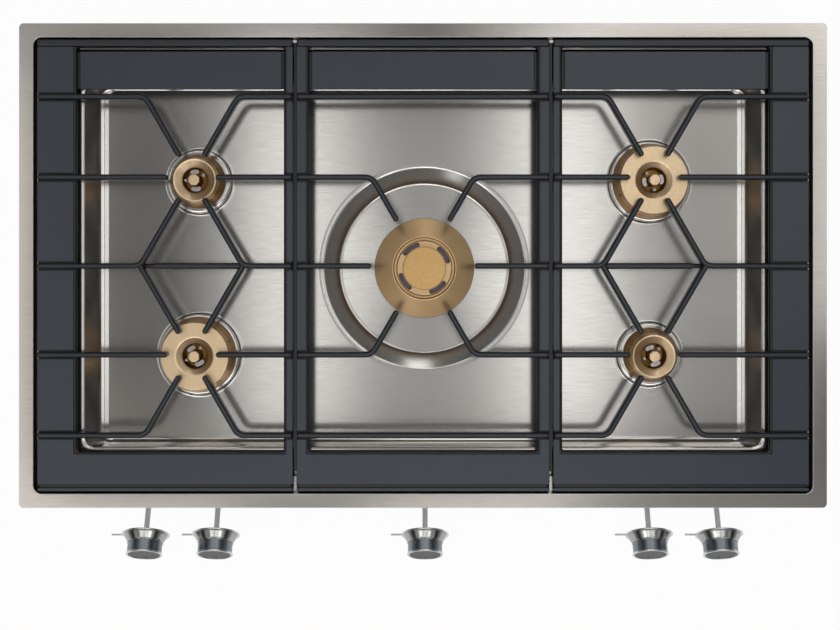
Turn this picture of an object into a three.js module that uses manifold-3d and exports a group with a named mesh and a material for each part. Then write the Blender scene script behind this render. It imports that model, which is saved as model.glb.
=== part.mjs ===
// Gas cooktop for a worktop cut-out: a pressed steel tray with five brass burners, three cast pan
// supports that lift out, and five knobs on long spindles in front of it, each driving a gas tap.
//
// Millimetres, +X to the right, +Y to the back, +Z up. The origin is the centre of the flat
// underside of the burner box. Pieces are modelled in a frame whose zero height is the top of the
// rim, so heights below the rim are negative, and the whole is lifted by BOX_UNDERSIDE at the end.

import * as THREE from "three";
import { mergeVertices } from "three/addons/utils/BufferGeometryUtils.js";
import Module from "manifold-3d";

const wasm = await Module();
wasm.setup();

// ---------------------------------------------------------------- driving dimensions

const FIT = 0.3; // gap kept between pieces that touch
const BOX_UNDERSIDE = 108; // from the top of the rim down to the underside of the burner box

// Tray
const RIM_LENGTH = 900;
const RIM_DEPTH = 540;
const RIM_BORDER = 16;
const RIM_FOLD = 3; // thickness of the folded border
const RIM_CORNER = 5;
const RIM_EDGE = 0.6;
const SHEET = 1.5;
const WELL_CORNER = 9;
const WALL_DRAFT = 1;
const LEDGE_DROP = 9;
const LEDGE_SIDE = 19;
const LEDGE_FRONT = 18;
const LEDGE_BACK = 12;
const STEP_DROP = 7;
const BASIN_SIDE = 50; // from the well wall to the upper edge of the basin
const BASIN_END = 47;
const BASIN_CORNER = 12;
const BASIN_DROP = 45;
const SLOPE_SIDE = 24; // run of the basin's sloping walls
const SLOPE_END = 17;
const BASIN_LIP = 3;
const BASIN_FILLET = 4;

// Pan supports
const SUPPORT_SIDE_GAP = 4;
const SUPPORT_END_GAP = 2.3;
const SUPPORT_SEAM = 4;
const CENTRE_SUPPORT = 282; // width of the middle support
const SUPPORT_PLATE = 6;
const SUPPORT_EDGE = 1.1; // chamfer round the plates
const SUPPORT_CORNER = 4;
const OUTER_PLATE = 44;
const SEAM_COLUMN = 10.5; // side supports, at the seam
const CENTRE_COLUMN = 14;
const FRONT_PLATE = 44.7;
const BACK_RAIL = 8;
const WINDOW_CORNER = 5;
const GROOVE_FROM_FRONT = 4.2;
const GROOVE_WIDTH = 3.6;
const GROOVE_DEPTH = 2.2;
const PANEL_SLOT = 4; // slot between the back rail and the sunken panel
const PANEL_DEPTH = 43;
const PANEL_DROP = 4.8;
const PANEL_THICKNESS = 3;
const PANEL_SEAT = 4; // how far the sunken panel runs under the plates beside it
const BAR_WIDTH = 6.4;
const BAR_CROWN = 4.2; // flat on top of a bar
const BAR_RISE = 5; // over the plates
const BAR_EDGE = 1.4; // height of the slope beside the crown
const BRACE_DROP = 3.2; // the brace between two bends stays this far under the crown
const WORK_CENTRE = -0.5; // Y of the middle bar
const SIDE_HUB = 257.5; // X of the finger stars of the side supports
const END_BAR_INSET = 65.7; // from the well's end wall to the first and the last bar
const HUB_INSET = 89.5; // from an end bar to the next row of side burners
const SIDE_TIP_RADIUS = 27;
const WOK_TIP_RADIUS = 57.5;
const FINGER_ANGLE = 60;
const FOOT_LENGTH = 14;
const FOOT_DEPTH = 7;
const FOOT_INSET = 18;

// Burners
const BURNER_SHIFT_X = 1.5; // the burners stand a little off the finger stars
const BURNER_SHIFT_Y = -2.5;
const COLLAR_DROP = 35; // top of the drawn collar in the tray floor
const COLLAR_MARGIN = 1.8;
const COLLAR_DRAFT = 1.6;
const COLLAR_ROUND = 1.4;
const RING_TOP_DROP = 8;
const RING_SEAT_DROP = 20;
const CAP_TOP_DROP = 3;
const CAP_THICKNESS = 6;
const CAP_RADIUS = 6.4;
const CAP_EDGE = 0.8;
const POST_RADIUS = 5.4;
const WELL_RADIUS = 13.6;
const WELL_DROP = 31;
const NECK_RADIUS = 20;
const NECK_DROP = 56;
const NECK_PLAY = 1;
const INJECTOR_RADIUS = 7;
const INJECTOR_LENGTH = 18;
const PROBE_CIRCLE = 10.4; // radius on which the igniter and the thermocouple stand
const PROBE_RADIUS = 2.1;
const PROBE_TAIL = 6;
const IGNITER_TOP_DROP = 12.5;
const THERMOCOUPLE_TOP_DROP = 10.5;
const PORT_WIDTH = 1.9;
const PORT_HEIGHT = 2.8;
const SMALL_BURNER = { ringRadius: 24.3, dishRadius: 22.9, dishDepth: 5.5, skirt: 8, ports: 10 };
const LARGE_BURNER = { ringRadius: 37.9, dishRadius: 21.3, dishDepth: 7, skirt: 7, ports: 12 };
const RING_SHARE = 2.2; // how far the ring's cone spreads from its top to its seat
const RING_EDGE = 0.7;

// Wok burner
const DISH_RADIUS = 124; // outer edge of the round dish in the tray floor
const DISH_SLOPE = 30;
const DISH_DEPTH = 12;
const DISH_ROUND = 3;
const WOK_RING_RADIUS = 56.2;
const WOK_RING_OPENING = 34.6;
const WOK_RING_LIP = 1; // flat bright edge round the opening
const WOK_RING_EDGE = 3.6;
const WOK_RING_TOP_DROP = 9;
const WOK_SEAT_DROP = 23;
const WOK_SKIRT_TOP = 53;
const WOK_SKIRT_FOOT = 46;
const WOK_NECK_RADIUS = 31;
const WOK_NECK_DROP = 70;
const WOK_WELL_DROP = 42;
const WOK_POST_RADIUS = 21;
const WOK_INNER_RADIUS = 30.8;
const WOK_INNER_THICKNESS = 8;
const WOK_INNER_TOP_DROP = 11;
const WOK_SLOT_RADIUS = 27.3;
const WOK_SLOT_WIDTH = 4.6;
const WOK_SLOT_ARC = 46;
const WOK_SLOT_TURN = 36;
const WOK_SLOTS = 4;
const WOK_CAP_RADIUS = 23.9;
const WOK_CAP_THICKNESS = 6;
const WOK_PORTS = 18;
const WOK_PROBE_CIRCLE = 27.5;

// Knobs and gas taps. The tap axis rises towards the user, and lengths are measured along it from
// the back of the knob's flange.
const KNOB_TILT = 27;
const KNOB_FRONT = 35.4; // from the front of the rim to the back of the flange
const KNOB_DROP = 32;
const KNOB_PAIR = 79.8; // between the two knobs of a pair
const LEFT_PAIR = -275.4;
const CENTRE_KNOB = 2.3;
const RIGHT_PAIR = 297.1;
const FLANGE_RADIUS = 26.9;
const FLANGE_THICKNESS = 1.8;
const CONE_RADIUS = 24.7;
const CONE_LENGTH = 7;
const GRIP_RADIUS = 19.4;
const GRIP_LENGTH = 15;
const END_RING_RADIUS = 20.3;
const END_RING_LENGTH = 3.3;
const END_RING_WIDTH = 2;
const END_RECESS = 0.8;
const KNOB_EDGE = 0.5;
const INDEX_LENGTH = 6;
const INDEX_WIDTH = 1.2;
const INDEX_DEPTH = 0.6;
const POINTER_LENGTH = 11.5;
const POINTER_RADIUS = 1.1;
const SPINDLE_RADIUS = 3;
const SPINDLE_FLAT = 2.1; // from the spindle's axis to its flat
const SPINDLE_IN_KNOB = 16;
const KNOB_TRAVEL = 4;
const TAP_FACE = 64; // from the flange to the face of the tap body
const TAP_NECK_RADIUS = 7.6;
const TAP_NECK_LENGTH = 9;
const TAP_RADIUS = 10.8;
const TAP_LENGTH = 36;
const PLUG_RADIUS = 5.8;
const PLUG_TAPER = 0.6;
const PLUG_PLAY = 0.7; // running clearance round the tapered plug
const PLUG_LENGTH = 30;
const PLUG_SET_BACK = 3; // from the mouth of the neck to the plug
const SPINDLE_IN_PLUG = 15;
const OUTLET_RADIUS = 4.2;
const OUTLET_LENGTH = 9;
const STUB_RADIUS = 6;
const BRACKET_SHEET = 2;
const BRACKET_BELOW = 14; // how far the bracket runs past the tap axis
const BRACKET_OVERHANG = 24; // how far it runs past the outer taps
const BRACKET_FLANGE = 13;
const RAIL_RADIUS = 8;
const RAIL_DROP = 97;
const RAIL_PLAY = 0.9; // clearance of a tap's saddle over the rail
const RAIL_OVERHANG = 30;
const INLET_HEX = 13;
const INLET_HEX_LENGTH = 9;
const INLET_RADIUS = 10.4;
const INLET_LENGTH = 18;
const INLET_BORE = 6;
const PIPE_RADIUS = 3;
const PIPE_DROP = 88;
const PIPE_STRAIGHT = 9; // straight run out of the tap and into the injector
const PIPE_GATE = 0.5; // share of the way over to the burner at which a pipe enters the box

// Burner box, seal and ignition module
const BOX_LENGTH = 680;
const BOX_DEPTH = 340;
const BOX_CORNER = 14;
const BOX_SHEET = 1.2;
const BOX_FLANGE = 12;
const PIPE_HOLE_PLAY = 3;
const SEAL_WIDTH = 9;
const SEAL_THICKNESS = 2;
const SEAL_INSET = 3;
const MODULE_LENGTH = 120;
const MODULE_DEPTH = 32;
const MODULE_HEIGHT = 28;
const MODULE_DROP = 70;
const MODULE_CORNER = 3;

// Fineness of the round shapes
const CORNER_STEPS = 3;
const ROUND = 18;
const FINE_ROUND = 28;
const SMALL_ROUND = 10;
const ROD_ROUND = 6;

// ---------------------------------------------------------------- colours of the finishes

const finish = (color, roughness, metalness) => ({ color, roughness, metalness });
const BRUSHED_STEEL = finish(0xb8b2aa, 0.35, 1);
const ZINC_SHEET = finish(0x9a9c9e, 0.5, 1);
const CAST_IRON = finish(0x3b4148, 0.55, 0.2);
const BRASS = finish(0xb98d4f, 0.35, 1);
const DARK_BRASS = finish(0x7a5426, 0.45, 1);
const CERAMIC = finish(0xd8d4cc, 0.5, 0);
const PROBE_STEEL = finish(0x8f9094, 0.35, 1);
const TAP_METAL = finish(0xa5a7aa, 0.45, 1);
const KNOB_STEEL = finish(0x9aa0a6, 0.25, 1);
const PIPE_METAL = finish(0xc3c5c7, 0.35, 1);
const SEAL_RUBBER = finish(0x26282a, 0.9, 0);
const MODULE_PLASTIC = finish(0x2b2c2e, 0.6, 0);

// ---------------------------------------------------------------- solids

// A closed three.js geometry as a solid, facing out whichever way its profile was drawn.
function solid(geometry) {
  const bare = geometry.index ? geometry.toNonIndexed() : geometry.clone();
  const shared = mergeVertices(
    new THREE.BufferGeometry().setAttribute("position", bare.getAttribute("position")),
    1e-4,
  );
  const corners = shared.index.array;
  const faces = [];
  for (let i = 0; i < corners.length; i += 3) {
    const [a, b, c] = [corners[i], corners[i + 1], corners[i + 2]];
    if (a !== b && b !== c && c !== a) faces.push([a, b, c]);
  }
  const build = (triangles) =>
    new wasm.Manifold(
      new wasm.Mesh({
        numProp: 3,
        vertProperties: new Float32Array(shared.attributes.position.array),
        triVerts: new Uint32Array(triangles.flat()),
      }),
    );
  const made = build(faces);
  return made.volume() < 0 ? build(faces.map(([a, b, c]) => [a, c, b])) : made;
}

const union = (...pieces) => pieces.reduce((all, piece) => all.add(piece));
const cut = (piece, ...cutters) => cutters.reduce((rest, cutter) => rest.subtract(cutter), piece);

// A solid back as a geometry with flat faces.
function geometryOf(piece) {
  const mesh = piece.getMesh();
  const positions = new Float32Array(mesh.numVert * 3);
  for (let i = 0; i < mesh.numVert; i++) {
    const from = i * mesh.numProp;
    positions.set(mesh.vertProperties.subarray(from, from + 3), i * 3);
  }
  const indexed = new THREE.BufferGeometry()
    .setAttribute("position", new THREE.BufferAttribute(positions, 3))
    .setIndex(new THREE.BufferAttribute(new Uint32Array(mesh.triVerts), 1));
  const flat = indexed.toNonIndexed();
  flat.computeVertexNormals();
  return flat;
}

function part(name, piece, surface, place = [0, 0, 0]) {
  const mesh = new THREE.Mesh(geometryOf(piece), new THREE.MeshStandardMaterial(surface));
  mesh.name = name;
  mesh.position.set(...place);
  return mesh;
}

// A profile of [radius, height] points turned about the Z axis.
function turned(profile, segments) {
  const points = profile.map(([radius, height]) => new THREE.Vector2(radius, height));
  const closed = profile[0][0] === 0 ? points : [...points, points[0]];
  return solid(new THREE.LatheGeometry(closed, segments).rotateX(Math.PI / 2));
}

function rod(radius, low, high, segments, place = [0, 0]) {
  const length = high - low;
  const geometry = new THREE.CylinderGeometry(radius, radius, length, segments);
  geometry.rotateX(Math.PI / 2).translate(place[0], place[1], low + length / 2);
  return solid(geometry);
}

// A rectangular loop of points with rounded corners at one height, anticlockwise from above.
function loop(halfLength, front, back, radius, height, steps = CORNER_STEPS, centre = 0) {
  const corners = [
    [centre + halfLength - radius, back - radius],
    [centre - halfLength + radius, back - radius],
    [centre - halfLength + radius, front + radius],
    [centre + halfLength - radius, front + radius],
  ];
  return corners.flatMap(([x, y], corner) =>
    Array.from({ length: steps + 1 }, (_, step) => {
      const angle = ((corner + step / steps) * Math.PI) / 2;
      return new THREE.Vector3(x + radius * Math.cos(angle), y + radius * Math.sin(angle), height);
    }),
  );
}

// Loops of equally many points joined in order, with the first and the last closed over.
function loft(loops) {
  const count = loops[0].length;
  const index = [];
  for (let level = 0; level < loops.length - 1; level++) {
    for (let i = 0; i < count; i++) {
      const a = level * count + i;
      const b = level * count + ((i + 1) % count);
      index.push(a, b, b + count, a, b + count, a + count);
    }
  }
  const flat = (points) => points.map((p) => new THREE.Vector2(p.x, p.y));
  const last = (loops.length - 1) * count;
  for (const [a, b, c] of THREE.ShapeUtils.triangulateShape(flat(loops[0]), [])) {
    index.push(a, c, b);
  }
  for (const [a, b, c] of THREE.ShapeUtils.triangulateShape(flat(loops.at(-1)), [])) {
    index.push(last + a, last + b, last + c);
  }
  const positions = loops.flat().flatMap((p) => [p.x, p.y, p.z]);
  const geometry = new THREE.BufferGeometry();
  geometry.setAttribute("position", new THREE.Float32BufferAttribute(positions, 3));
  geometry.setIndex(index);
  return solid(geometry);
}

// A block with rounded upright edges, from its low to its high corner.
function block([x0, y0, z0], [x1, y1, z1], radius = 0.5, steps = 1) {
  const at = (height) => loop((x1 - x0) / 2, y0, y1, radius, height, steps, (x0 + x1) / 2);
  return loft([at(z0), at(z1)]);
}

// The outline of a strip that follows a path: mitred bends, a square start and a round end.
function stripOutline(path, width, roundEnd) {
  const half = width / 2;
  const rights = [];
  const lefts = [];
  path.forEach((point, i) => {
    const before = i > 0 ? point.clone().sub(path[i - 1]).normalize() : null;
    const after = i < path.length - 1 ? path[i + 1].clone().sub(point).normalize() : null;
    const along = before && after ? before.clone().add(after).normalize() : (before ?? after);
    const mitre = before && after ? along.dot(before) : 1;
    const side = new THREE.Vector2(-along.y, along.x).multiplyScalar(half / mitre);
    if (!after && roundEnd) {
      const centre = point.clone().addScaledVector(along, -half);
      for (const turn of [-90, -35, 35, 90]) {
        const offset = along.clone().multiplyScalar(half);
        offset.rotateAround(new THREE.Vector2(), THREE.MathUtils.degToRad(turn));
        rights.push(centre.clone().add(offset));
      }
      return;
    }
    rights.push(point.clone().sub(side));
    lefts.unshift(point.clone().add(side));
  });
  return [...rights, ...lefts];
}

// A cast bar along a path: slightly drafted sides and a narrower crown.
function bar(path, crownHeight, roundEnd = true) {
  const draft = (BAR_WIDTH - BAR_CROWN) / 4;
  const at = (width, height) =>
    stripOutline(path, width, roundEnd).map((p) => new THREE.Vector3(p.x, p.y, height));
  return loft([
    at(BAR_WIDTH, -SUPPORT_PLATE),
    at(BAR_WIDTH - draft, crownHeight - BAR_EDGE),
    at(BAR_CROWN, crownHeight),
  ]);
}

// ---------------------------------------------------------------- tray

const wellHalf = RIM_LENGTH / 2 - RIM_BORDER;
const wellEnd = RIM_DEPTH / 2 - RIM_BORDER;
const ledgeHeight = -LEDGE_DROP;
const floorHeight = -BASIN_DROP;
const floorUnderside = floorHeight - SHEET;
const dishFloor = floorHeight - DISH_DEPTH;
const endBar = wellEnd - END_BAR_INSET; // Y from the middle bar to the first and the last bar
const hubRow = endBar - HUB_INSET; // Y from the middle bar to a row of side burners

const SIDE_BURNERS = [
  { name: "rear_left", x: -SIDE_HUB, y: hubRow, kind: SMALL_BURNER, igniterAngle: 35 },
  { name: "front_left", x: -SIDE_HUB, y: -hubRow, kind: LARGE_BURNER, igniterAngle: 60 },
  { name: "rear_right", x: SIDE_HUB, y: hubRow, kind: LARGE_BURNER, igniterAngle: 130 },
  { name: "front_right", x: SIDE_HUB, y: -hubRow, kind: SMALL_BURNER, igniterAngle: 50 },
].map((burner) => ({
  ...burner,
  place: [burner.x + BURNER_SHIFT_X, burner.y + WORK_CENTRE + BURNER_SHIFT_Y, 0],
  seatRadius: burner.kind.ringRadius + RING_SHARE,
  footRadius: burner.kind.ringRadius + burner.kind.skirt,
}));
const wokPlace = [BURNER_SHIFT_X, WORK_CENTRE + BURNER_SHIFT_Y, 0];

// Upper surface of the tray from the rim to the floor: half length, front, back, corner, height.
function traySteps() {
  const rim = [RIM_LENGTH / 2, -RIM_DEPTH / 2, RIM_DEPTH / 2];
  const inset = ([half, front, back], side, frontIn, backIn) => [
    half - side,
    front + frontIn,
    back - backIn,
  ];
  const well = [wellHalf, -wellEnd, wellEnd];
  const ledge = inset(well, LEDGE_SIDE, LEDGE_FRONT, LEDGE_BACK);
  const basin = inset(well, BASIN_SIDE, BASIN_END, BASIN_END);
  const slope = (share) => inset(basin, SLOPE_SIDE * share, SLOPE_END * share, SLOPE_END * share);
  const shelf = ledgeHeight - STEP_DROP;
  const lip = BASIN_LIP / 2;
  return {
    border: [
      [...rim, RIM_CORNER, -RIM_FOLD],
      [...rim, RIM_CORNER, -RIM_EDGE],
      [...inset(rim, RIM_EDGE, RIM_EDGE, RIM_EDGE), RIM_CORNER - RIM_EDGE, 0],
    ],
    sheet: [
      [...well, WELL_CORNER, 0],
      [...inset(well, WALL_DRAFT, WALL_DRAFT, WALL_DRAFT), WELL_CORNER, ledgeHeight],
      [...ledge, WELL_CORNER, ledgeHeight],
      [...inset(ledge, WALL_DRAFT, WALL_DRAFT, WALL_DRAFT), WELL_CORNER, shelf],
      [...basin, BASIN_CORNER, shelf],
      [...inset(basin, lip, lip, lip), BASIN_CORNER, shelf - BASIN_LIP],
      [...slope(0.82), BASIN_CORNER, floorHeight + BASIN_FILLET],
      [...slope(0.9), BASIN_CORNER, floorHeight + BASIN_FILLET / 4],
      [...slope(1), BASIN_CORNER, floorHeight],
    ],
  };
}

function trayPan() {
  const { border, sheet } = traySteps();
  const upper = [...border, ...sheet].map((step) => loop(...step));
  const lower = sheet.map(([half, front, back, corner, height]) => {
    const under = Math.min(height - SHEET, -RIM_FOLD);
    return loop(half + SHEET, front - SHEET, back + SHEET, corner + SHEET, under);
  });
  return loft([...lower.reverse(), ...upper]);
}

// The drawn collar that a side burner stands on, with the hole for its neck.
function collar(footRadius) {
  const top = -COLLAR_DROP;
  const shoulder = footRadius + COLLAR_MARGIN;
  const foot = shoulder + COLLAR_DRAFT;
  const hole = NECK_RADIUS + NECK_PLAY;
  return turned(
    [
      [foot, floorHeight],
      [shoulder, top - COLLAR_ROUND],
      [shoulder - COLLAR_ROUND, top],
      [hole, top],
      [hole, top - SHEET],
      [shoulder - COLLAR_ROUND, top - SHEET],
      [foot - SHEET, floorUnderside],
      [foot, floorUnderside],
    ],
    ROUND,
  );
}

// The round dish under the wok burner.
function dish() {
  const inner = DISH_RADIUS - DISH_SLOPE;
  const hole = WOK_NECK_RADIUS + NECK_PLAY;
  return turned(
    [
      [DISH_RADIUS, floorHeight],
      [DISH_RADIUS - DISH_ROUND, floorHeight - DISH_ROUND / 3],
      [inner + DISH_ROUND, dishFloor + DISH_ROUND / 3],
      [inner, dishFloor],
      [hole, dishFloor],
      [hole, dishFloor - SHEET],
      [inner, dishFloor - SHEET],
      [DISH_RADIUS - DISH_ROUND, floorUnderside],
      [DISH_RADIUS, floorUnderside],
    ],
    FINE_ROUND,
  );
}

function makeTray() {
  const openings = [];
  const drawn = [];
  for (const { place, footRadius } of SIDE_BURNERS) {
    const [x, y] = place;
    const reach = footRadius + COLLAR_MARGIN + COLLAR_DRAFT - SHEET / 2;
    openings.push(rod(reach, floorUnderside - SHEET, floorHeight + SHEET, ROUND, [x, y]));
    drawn.push(collar(footRadius).translate(x, y, 0));
  }
  const [x, y] = wokPlace;
  const reach = DISH_RADIUS - SHEET;
  openings.push(rod(reach, floorUnderside - SHEET, floorHeight + SHEET, FINE_ROUND, [x, y]));
  drawn.push(dish().translate(x, y, 0));
  return part("tray", union(cut(trayPan(), ...openings), ...drawn), BRUSHED_STEEL);
}

function makeSeal() {
  const half = RIM_LENGTH / 2 - SEAL_INSET;
  const end = RIM_DEPTH / 2 - SEAL_INSET;
  const top = -RIM_FOLD - FIT;
  const at = (inset, height) =>
    loop(half - inset, -end + inset, end - inset, RIM_CORNER, height, CORNER_STEPS);
  const outer = loft([at(0, top - SEAL_THICKNESS), at(0, top)]);
  const inner = loft([at(SEAL_WIDTH, top - 2 * SEAL_THICKNESS), at(SEAL_WIDTH, top + FIT)]);
  return part("worktop_seal", cut(outer, inner), SEAL_RUBBER);
}

// ---------------------------------------------------------------- pan supports

const supportFront = -wellEnd + SUPPORT_END_GAP;
const supportBack = wellEnd - SUPPORT_END_GAP;
const outerEdge = wellHalf - SUPPORT_SIDE_GAP;
const seamEdge = CENTRE_SUPPORT / 2 + SUPPORT_SEAM;
const fingerTurn = THREE.MathUtils.degToRad(FINGER_ANGLE);

// The flat frame of a support: plates, seam columns, front groove, sunken back panel and feet.
function supportFrame(low, high, lowColumn, highColumn) {
  const windowLow = low + lowColumn;
  const windowHigh = high - highColumn;
  const windowFront = supportFront + FRONT_PLATE;
  const windowBack = supportBack - BACK_RAIL;
  const slope = 2 * SUPPORT_EDGE;
  const around = (x0, y0, x1, y1, radius) => (grow, height) => {
    const corner = radius + Math.max(grow, 0);
    return loop((x1 - x0) / 2 + grow, y0 - grow, y1 + grow, corner, height, 2, (x0 + x1) / 2);
  };
  const edge = around(low, supportFront, high, supportBack, SUPPORT_CORNER);
  const plate = loft([edge(0, -SUPPORT_PLATE), edge(0, -SUPPORT_EDGE), edge(-SUPPORT_EDGE, 0)]);
  const hole = around(windowLow, windowFront, windowHigh, windowBack, WINDOW_CORNER);
  const window = loft([
    hole(0, -SUPPORT_PLATE - SUPPORT_EDGE),
    hole(0, -SUPPORT_EDGE),
    hole(slope, SUPPORT_EDGE),
  ]);
  const panelBack = windowBack - PANEL_SLOT;
  const panel = block(
    [windowLow - PANEL_SEAT, panelBack - PANEL_DEPTH, -PANEL_DROP - PANEL_THICKNESS],
    [windowHigh + PANEL_SEAT, panelBack, -PANEL_DROP],
  );
  const grooveFront = supportFront + GROOVE_FROM_FRONT;
  const groove = block(
    [low - FIT, grooveFront, -GROOVE_DEPTH],
    [high + FIT, grooveFront + GROOVE_WIDTH, BAR_RISE],
    FIT,
  );
  const footBase = ledgeHeight + FIT;
  const feet = [low + FOOT_INSET, high - FOOT_INSET - FOOT_LENGTH].flatMap((x) =>
    [supportFront + SUPPORT_EDGE, supportBack - SUPPORT_EDGE - FOOT_DEPTH].map((y) =>
      block([x, y, footBase], [x + FOOT_LENGTH, y + FOOT_DEPTH, -SUPPORT_PLATE / 2], 2),
    ),
  );
  return cut(union(cut(plate, window), panel, ...feet), groove);
}

// A finger: from the frame edge along its row, over the bend, to its tip by the burner.
function finger(hub, edge, direction, tipRadius, row) {
  const heading = new THREE.Vector2(Math.cos(direction), Math.sin(direction));
  const tip = hub.clone().addScaledVector(heading, tipRadius);
  if (Math.abs(heading.y) < 1e-9) return bar([new THREE.Vector2(edge, hub.y), tip], BAR_RISE);
  const bendX = hub.x + ((row - hub.y) * heading.x) / heading.y;
  const start = edge === null ? [] : [new THREE.Vector2(edge, row)];
  return bar([...start, new THREE.Vector2(bendX, row), tip], BAR_RISE);
}

// Six fingers round a hub. The rows are where the slanting fingers bend towards the frame; a row
// whose bend another star already has is entered from the bend itself.
function star(hub, lowEdge, highEdge, tipRadius, backRow, frontRow, sharedRow = null) {
  const edges = (row, edge) => (row === sharedRow ? null : edge);
  return [
    finger(hub, highEdge, 0, tipRadius),
    finger(hub, edges(backRow, highEdge), fingerTurn, tipRadius, backRow),
    finger(hub, edges(backRow, lowEdge), Math.PI - fingerTurn, tipRadius, backRow),
    finger(hub, lowEdge, Math.PI, tipRadius),
    finger(hub, edges(frontRow, lowEdge), Math.PI + fingerTurn, tipRadius, frontRow),
    finger(hub, edges(frontRow, highEdge), -fingerTurn, tipRadius, frontRow),
  ];
}

const row = (distance) => WORK_CENTRE + distance;

function makeSideSupport(name, side) {
  const inner = Math.min(side * seamEdge, side * outerEdge);
  const outer = Math.max(side * seamEdge, side * outerEdge);
  const columns = side > 0 ? [SEAM_COLUMN, OUTER_PLATE] : [OUTER_PLATE, SEAM_COLUMN];
  const edges = [inner + SUPPORT_EDGE, outer - SUPPORT_EDGE];
  const rearHub = new THREE.Vector2(side * SIDE_HUB, row(hubRow));
  const frontHub = new THREE.Vector2(side * SIDE_HUB, row(-hubRow));
  const middle = row(0);
  const bend = hubRow / Math.tan(fingerTurn);
  const brace = [-bend, bend].map((x) => new THREE.Vector2(side * SIDE_HUB + x, middle));
  const cast = union(
    supportFrame(inner, outer, ...columns),
    ...star(rearHub, ...edges, SIDE_TIP_RADIUS, row(endBar), middle),
    ...star(frontHub, ...edges, SIDE_TIP_RADIUS, middle, row(-endBar), middle),
    bar(brace, BAR_RISE - BRACE_DROP, false),
  );
  return part(name, cast, CAST_IRON);
}

function makeCentreSupport() {
  const half = CENTRE_SUPPORT / 2;
  const edges = [-half + SUPPORT_EDGE, half - SUPPORT_EDGE];
  const hub = new THREE.Vector2(0, row(0));
  const across = [row(endBar), row(-endBar)].map((y) =>
    bar([new THREE.Vector2(edges[0], y), new THREE.Vector2(edges[1], y)], BAR_RISE, false),
  );
  const cast = union(
    supportFrame(-half, half, CENTRE_COLUMN, CENTRE_COLUMN),
    ...star(hub, ...edges, WOK_TIP_RADIUS, row(hubRow), row(-hubRow)),
    ...across,
  );
  return part("pan_support_centre", cast, CAST_IRON);
}

// ---------------------------------------------------------------- burners

const seatHeight = -RING_SEAT_DROP;
const ringTop = -RING_TOP_DROP;
const capTop = -CAP_TOP_DROP;
const capUnderside = capTop - CAP_THICKNESS;
const postTop = capUnderside - FIT;

// Radial channels through the foot of a flame ring, cut by bars across its whole width.
function ports(count, reach, seat) {
  return Array.from({ length: count / 2 }, (_, i) => {
    const channel = new THREE.BoxGeometry(2 * reach, PORT_WIDTH, 2 * PORT_HEIGHT);
    channel.rotateZ(((i + 0.5) * 2 * Math.PI) / count).translate(0, 0, seat);
    return solid(channel);
  });
}

// Upright holes that the igniter and the thermocouple pass through.
function probeHoles(circle, angles, low, high) {
  return angles.map((angle) => {
    const turn = THREE.MathUtils.degToRad(angle);
    const place = [circle * Math.cos(turn), circle * Math.sin(turn)];
    return rod(PROBE_RADIUS + FIT, low, high, ROD_ROUND, place);
  });
}

const thermocoupleAngle = (igniterAngle) => igniterAngle + 145;

function burnerBase({ name, place, seatRadius, footRadius, igniterAngle }) {
  const foot = -COLLAR_DROP + FIT;
  const well = -WELL_DROP;
  const neck = -NECK_DROP;
  const body = turned(
    [
      [0, neck - INJECTOR_LENGTH],
      [INJECTOR_RADIUS, neck - INJECTOR_LENGTH],
      [INJECTOR_RADIUS, neck],
      [NECK_RADIUS, neck],
      [NECK_RADIUS, foot],
      [footRadius, foot],
      [seatRadius, seatHeight - FIT],
      [WELL_RADIUS, seatHeight - FIT],
      [WELL_RADIUS, well],
      [POST_RADIUS, well],
      [POST_RADIUS, postTop],
      [0, postTop],
    ],
    ROUND,
  );
  const angles = [igniterAngle, thermocoupleAngle(igniterAngle)];
  const holes = probeHoles(PROBE_CIRCLE, angles, neck - FIT, well + FIT);
  return part(`burner_base_${name}`, cut(body, ...holes), DARK_BRASS, place);
}

function burnerRing({ name, place, kind, seatRadius }) {
  const body = turned(
    [
      [WELL_RADIUS, seatHeight],
      [seatRadius, seatHeight],
      [kind.ringRadius, ringTop - RING_EDGE],
      [kind.ringRadius - RING_EDGE, ringTop],
      [kind.dishRadius, ringTop],
      [WELL_RADIUS, ringTop - kind.dishDepth],
    ],
    ROUND,
  );
  const crown = cut(body, ...ports(kind.ports, seatRadius + RING_EDGE, seatHeight));
  return part(`burner_ring_${name}`, crown, BRASS, place);
}

function burnerCap({ name, place }) {
  const button = turned(
    [
      [0, capUnderside],
      [CAP_RADIUS, capUnderside],
      [CAP_RADIUS, capTop - CAP_EDGE],
      [CAP_RADIUS - CAP_EDGE, capTop],
      [0, capTop],
    ],
    SMALL_ROUND,
  );
  return part(`burner_cap_${name}`, button, BRASS, place);
}

// A probe standing on a circle round the burner's axis, from below the neck to its tip.
function probe(name, place, circle, angle, low, high, surface, tipRadius) {
  const turn = THREE.MathUtils.degToRad(angle);
  const shoulder = high - 2 * tipRadius;
  const needle = turned(
    [
      [0, low],
      [PROBE_RADIUS, low],
      [PROBE_RADIUS, shoulder - PROBE_RADIUS],
      [tipRadius, shoulder],
      [tipRadius, high],
      [0, high],
    ],
    ROD_ROUND,
  );
  const [x, y, z] = place;
  const stand = [x + circle * Math.cos(turn), y + circle * Math.sin(turn), z];
  return part(name, needle, surface, stand);
}

function probes(suffix, place, circle, igniterAngle, low, drop) {
  const other = thermocoupleAngle(igniterAngle);
  const tips = [-IGNITER_TOP_DROP - drop, -THERMOCOUPLE_TOP_DROP - drop];
  return [
    probe(`igniter_${suffix}`, place, circle, igniterAngle, low, tips[0], CERAMIC, 0.9),
    probe(`thermocouple_${suffix}`, place, circle, other, low, tips[1], PROBE_STEEL, 1.5),
  ];
}

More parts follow.
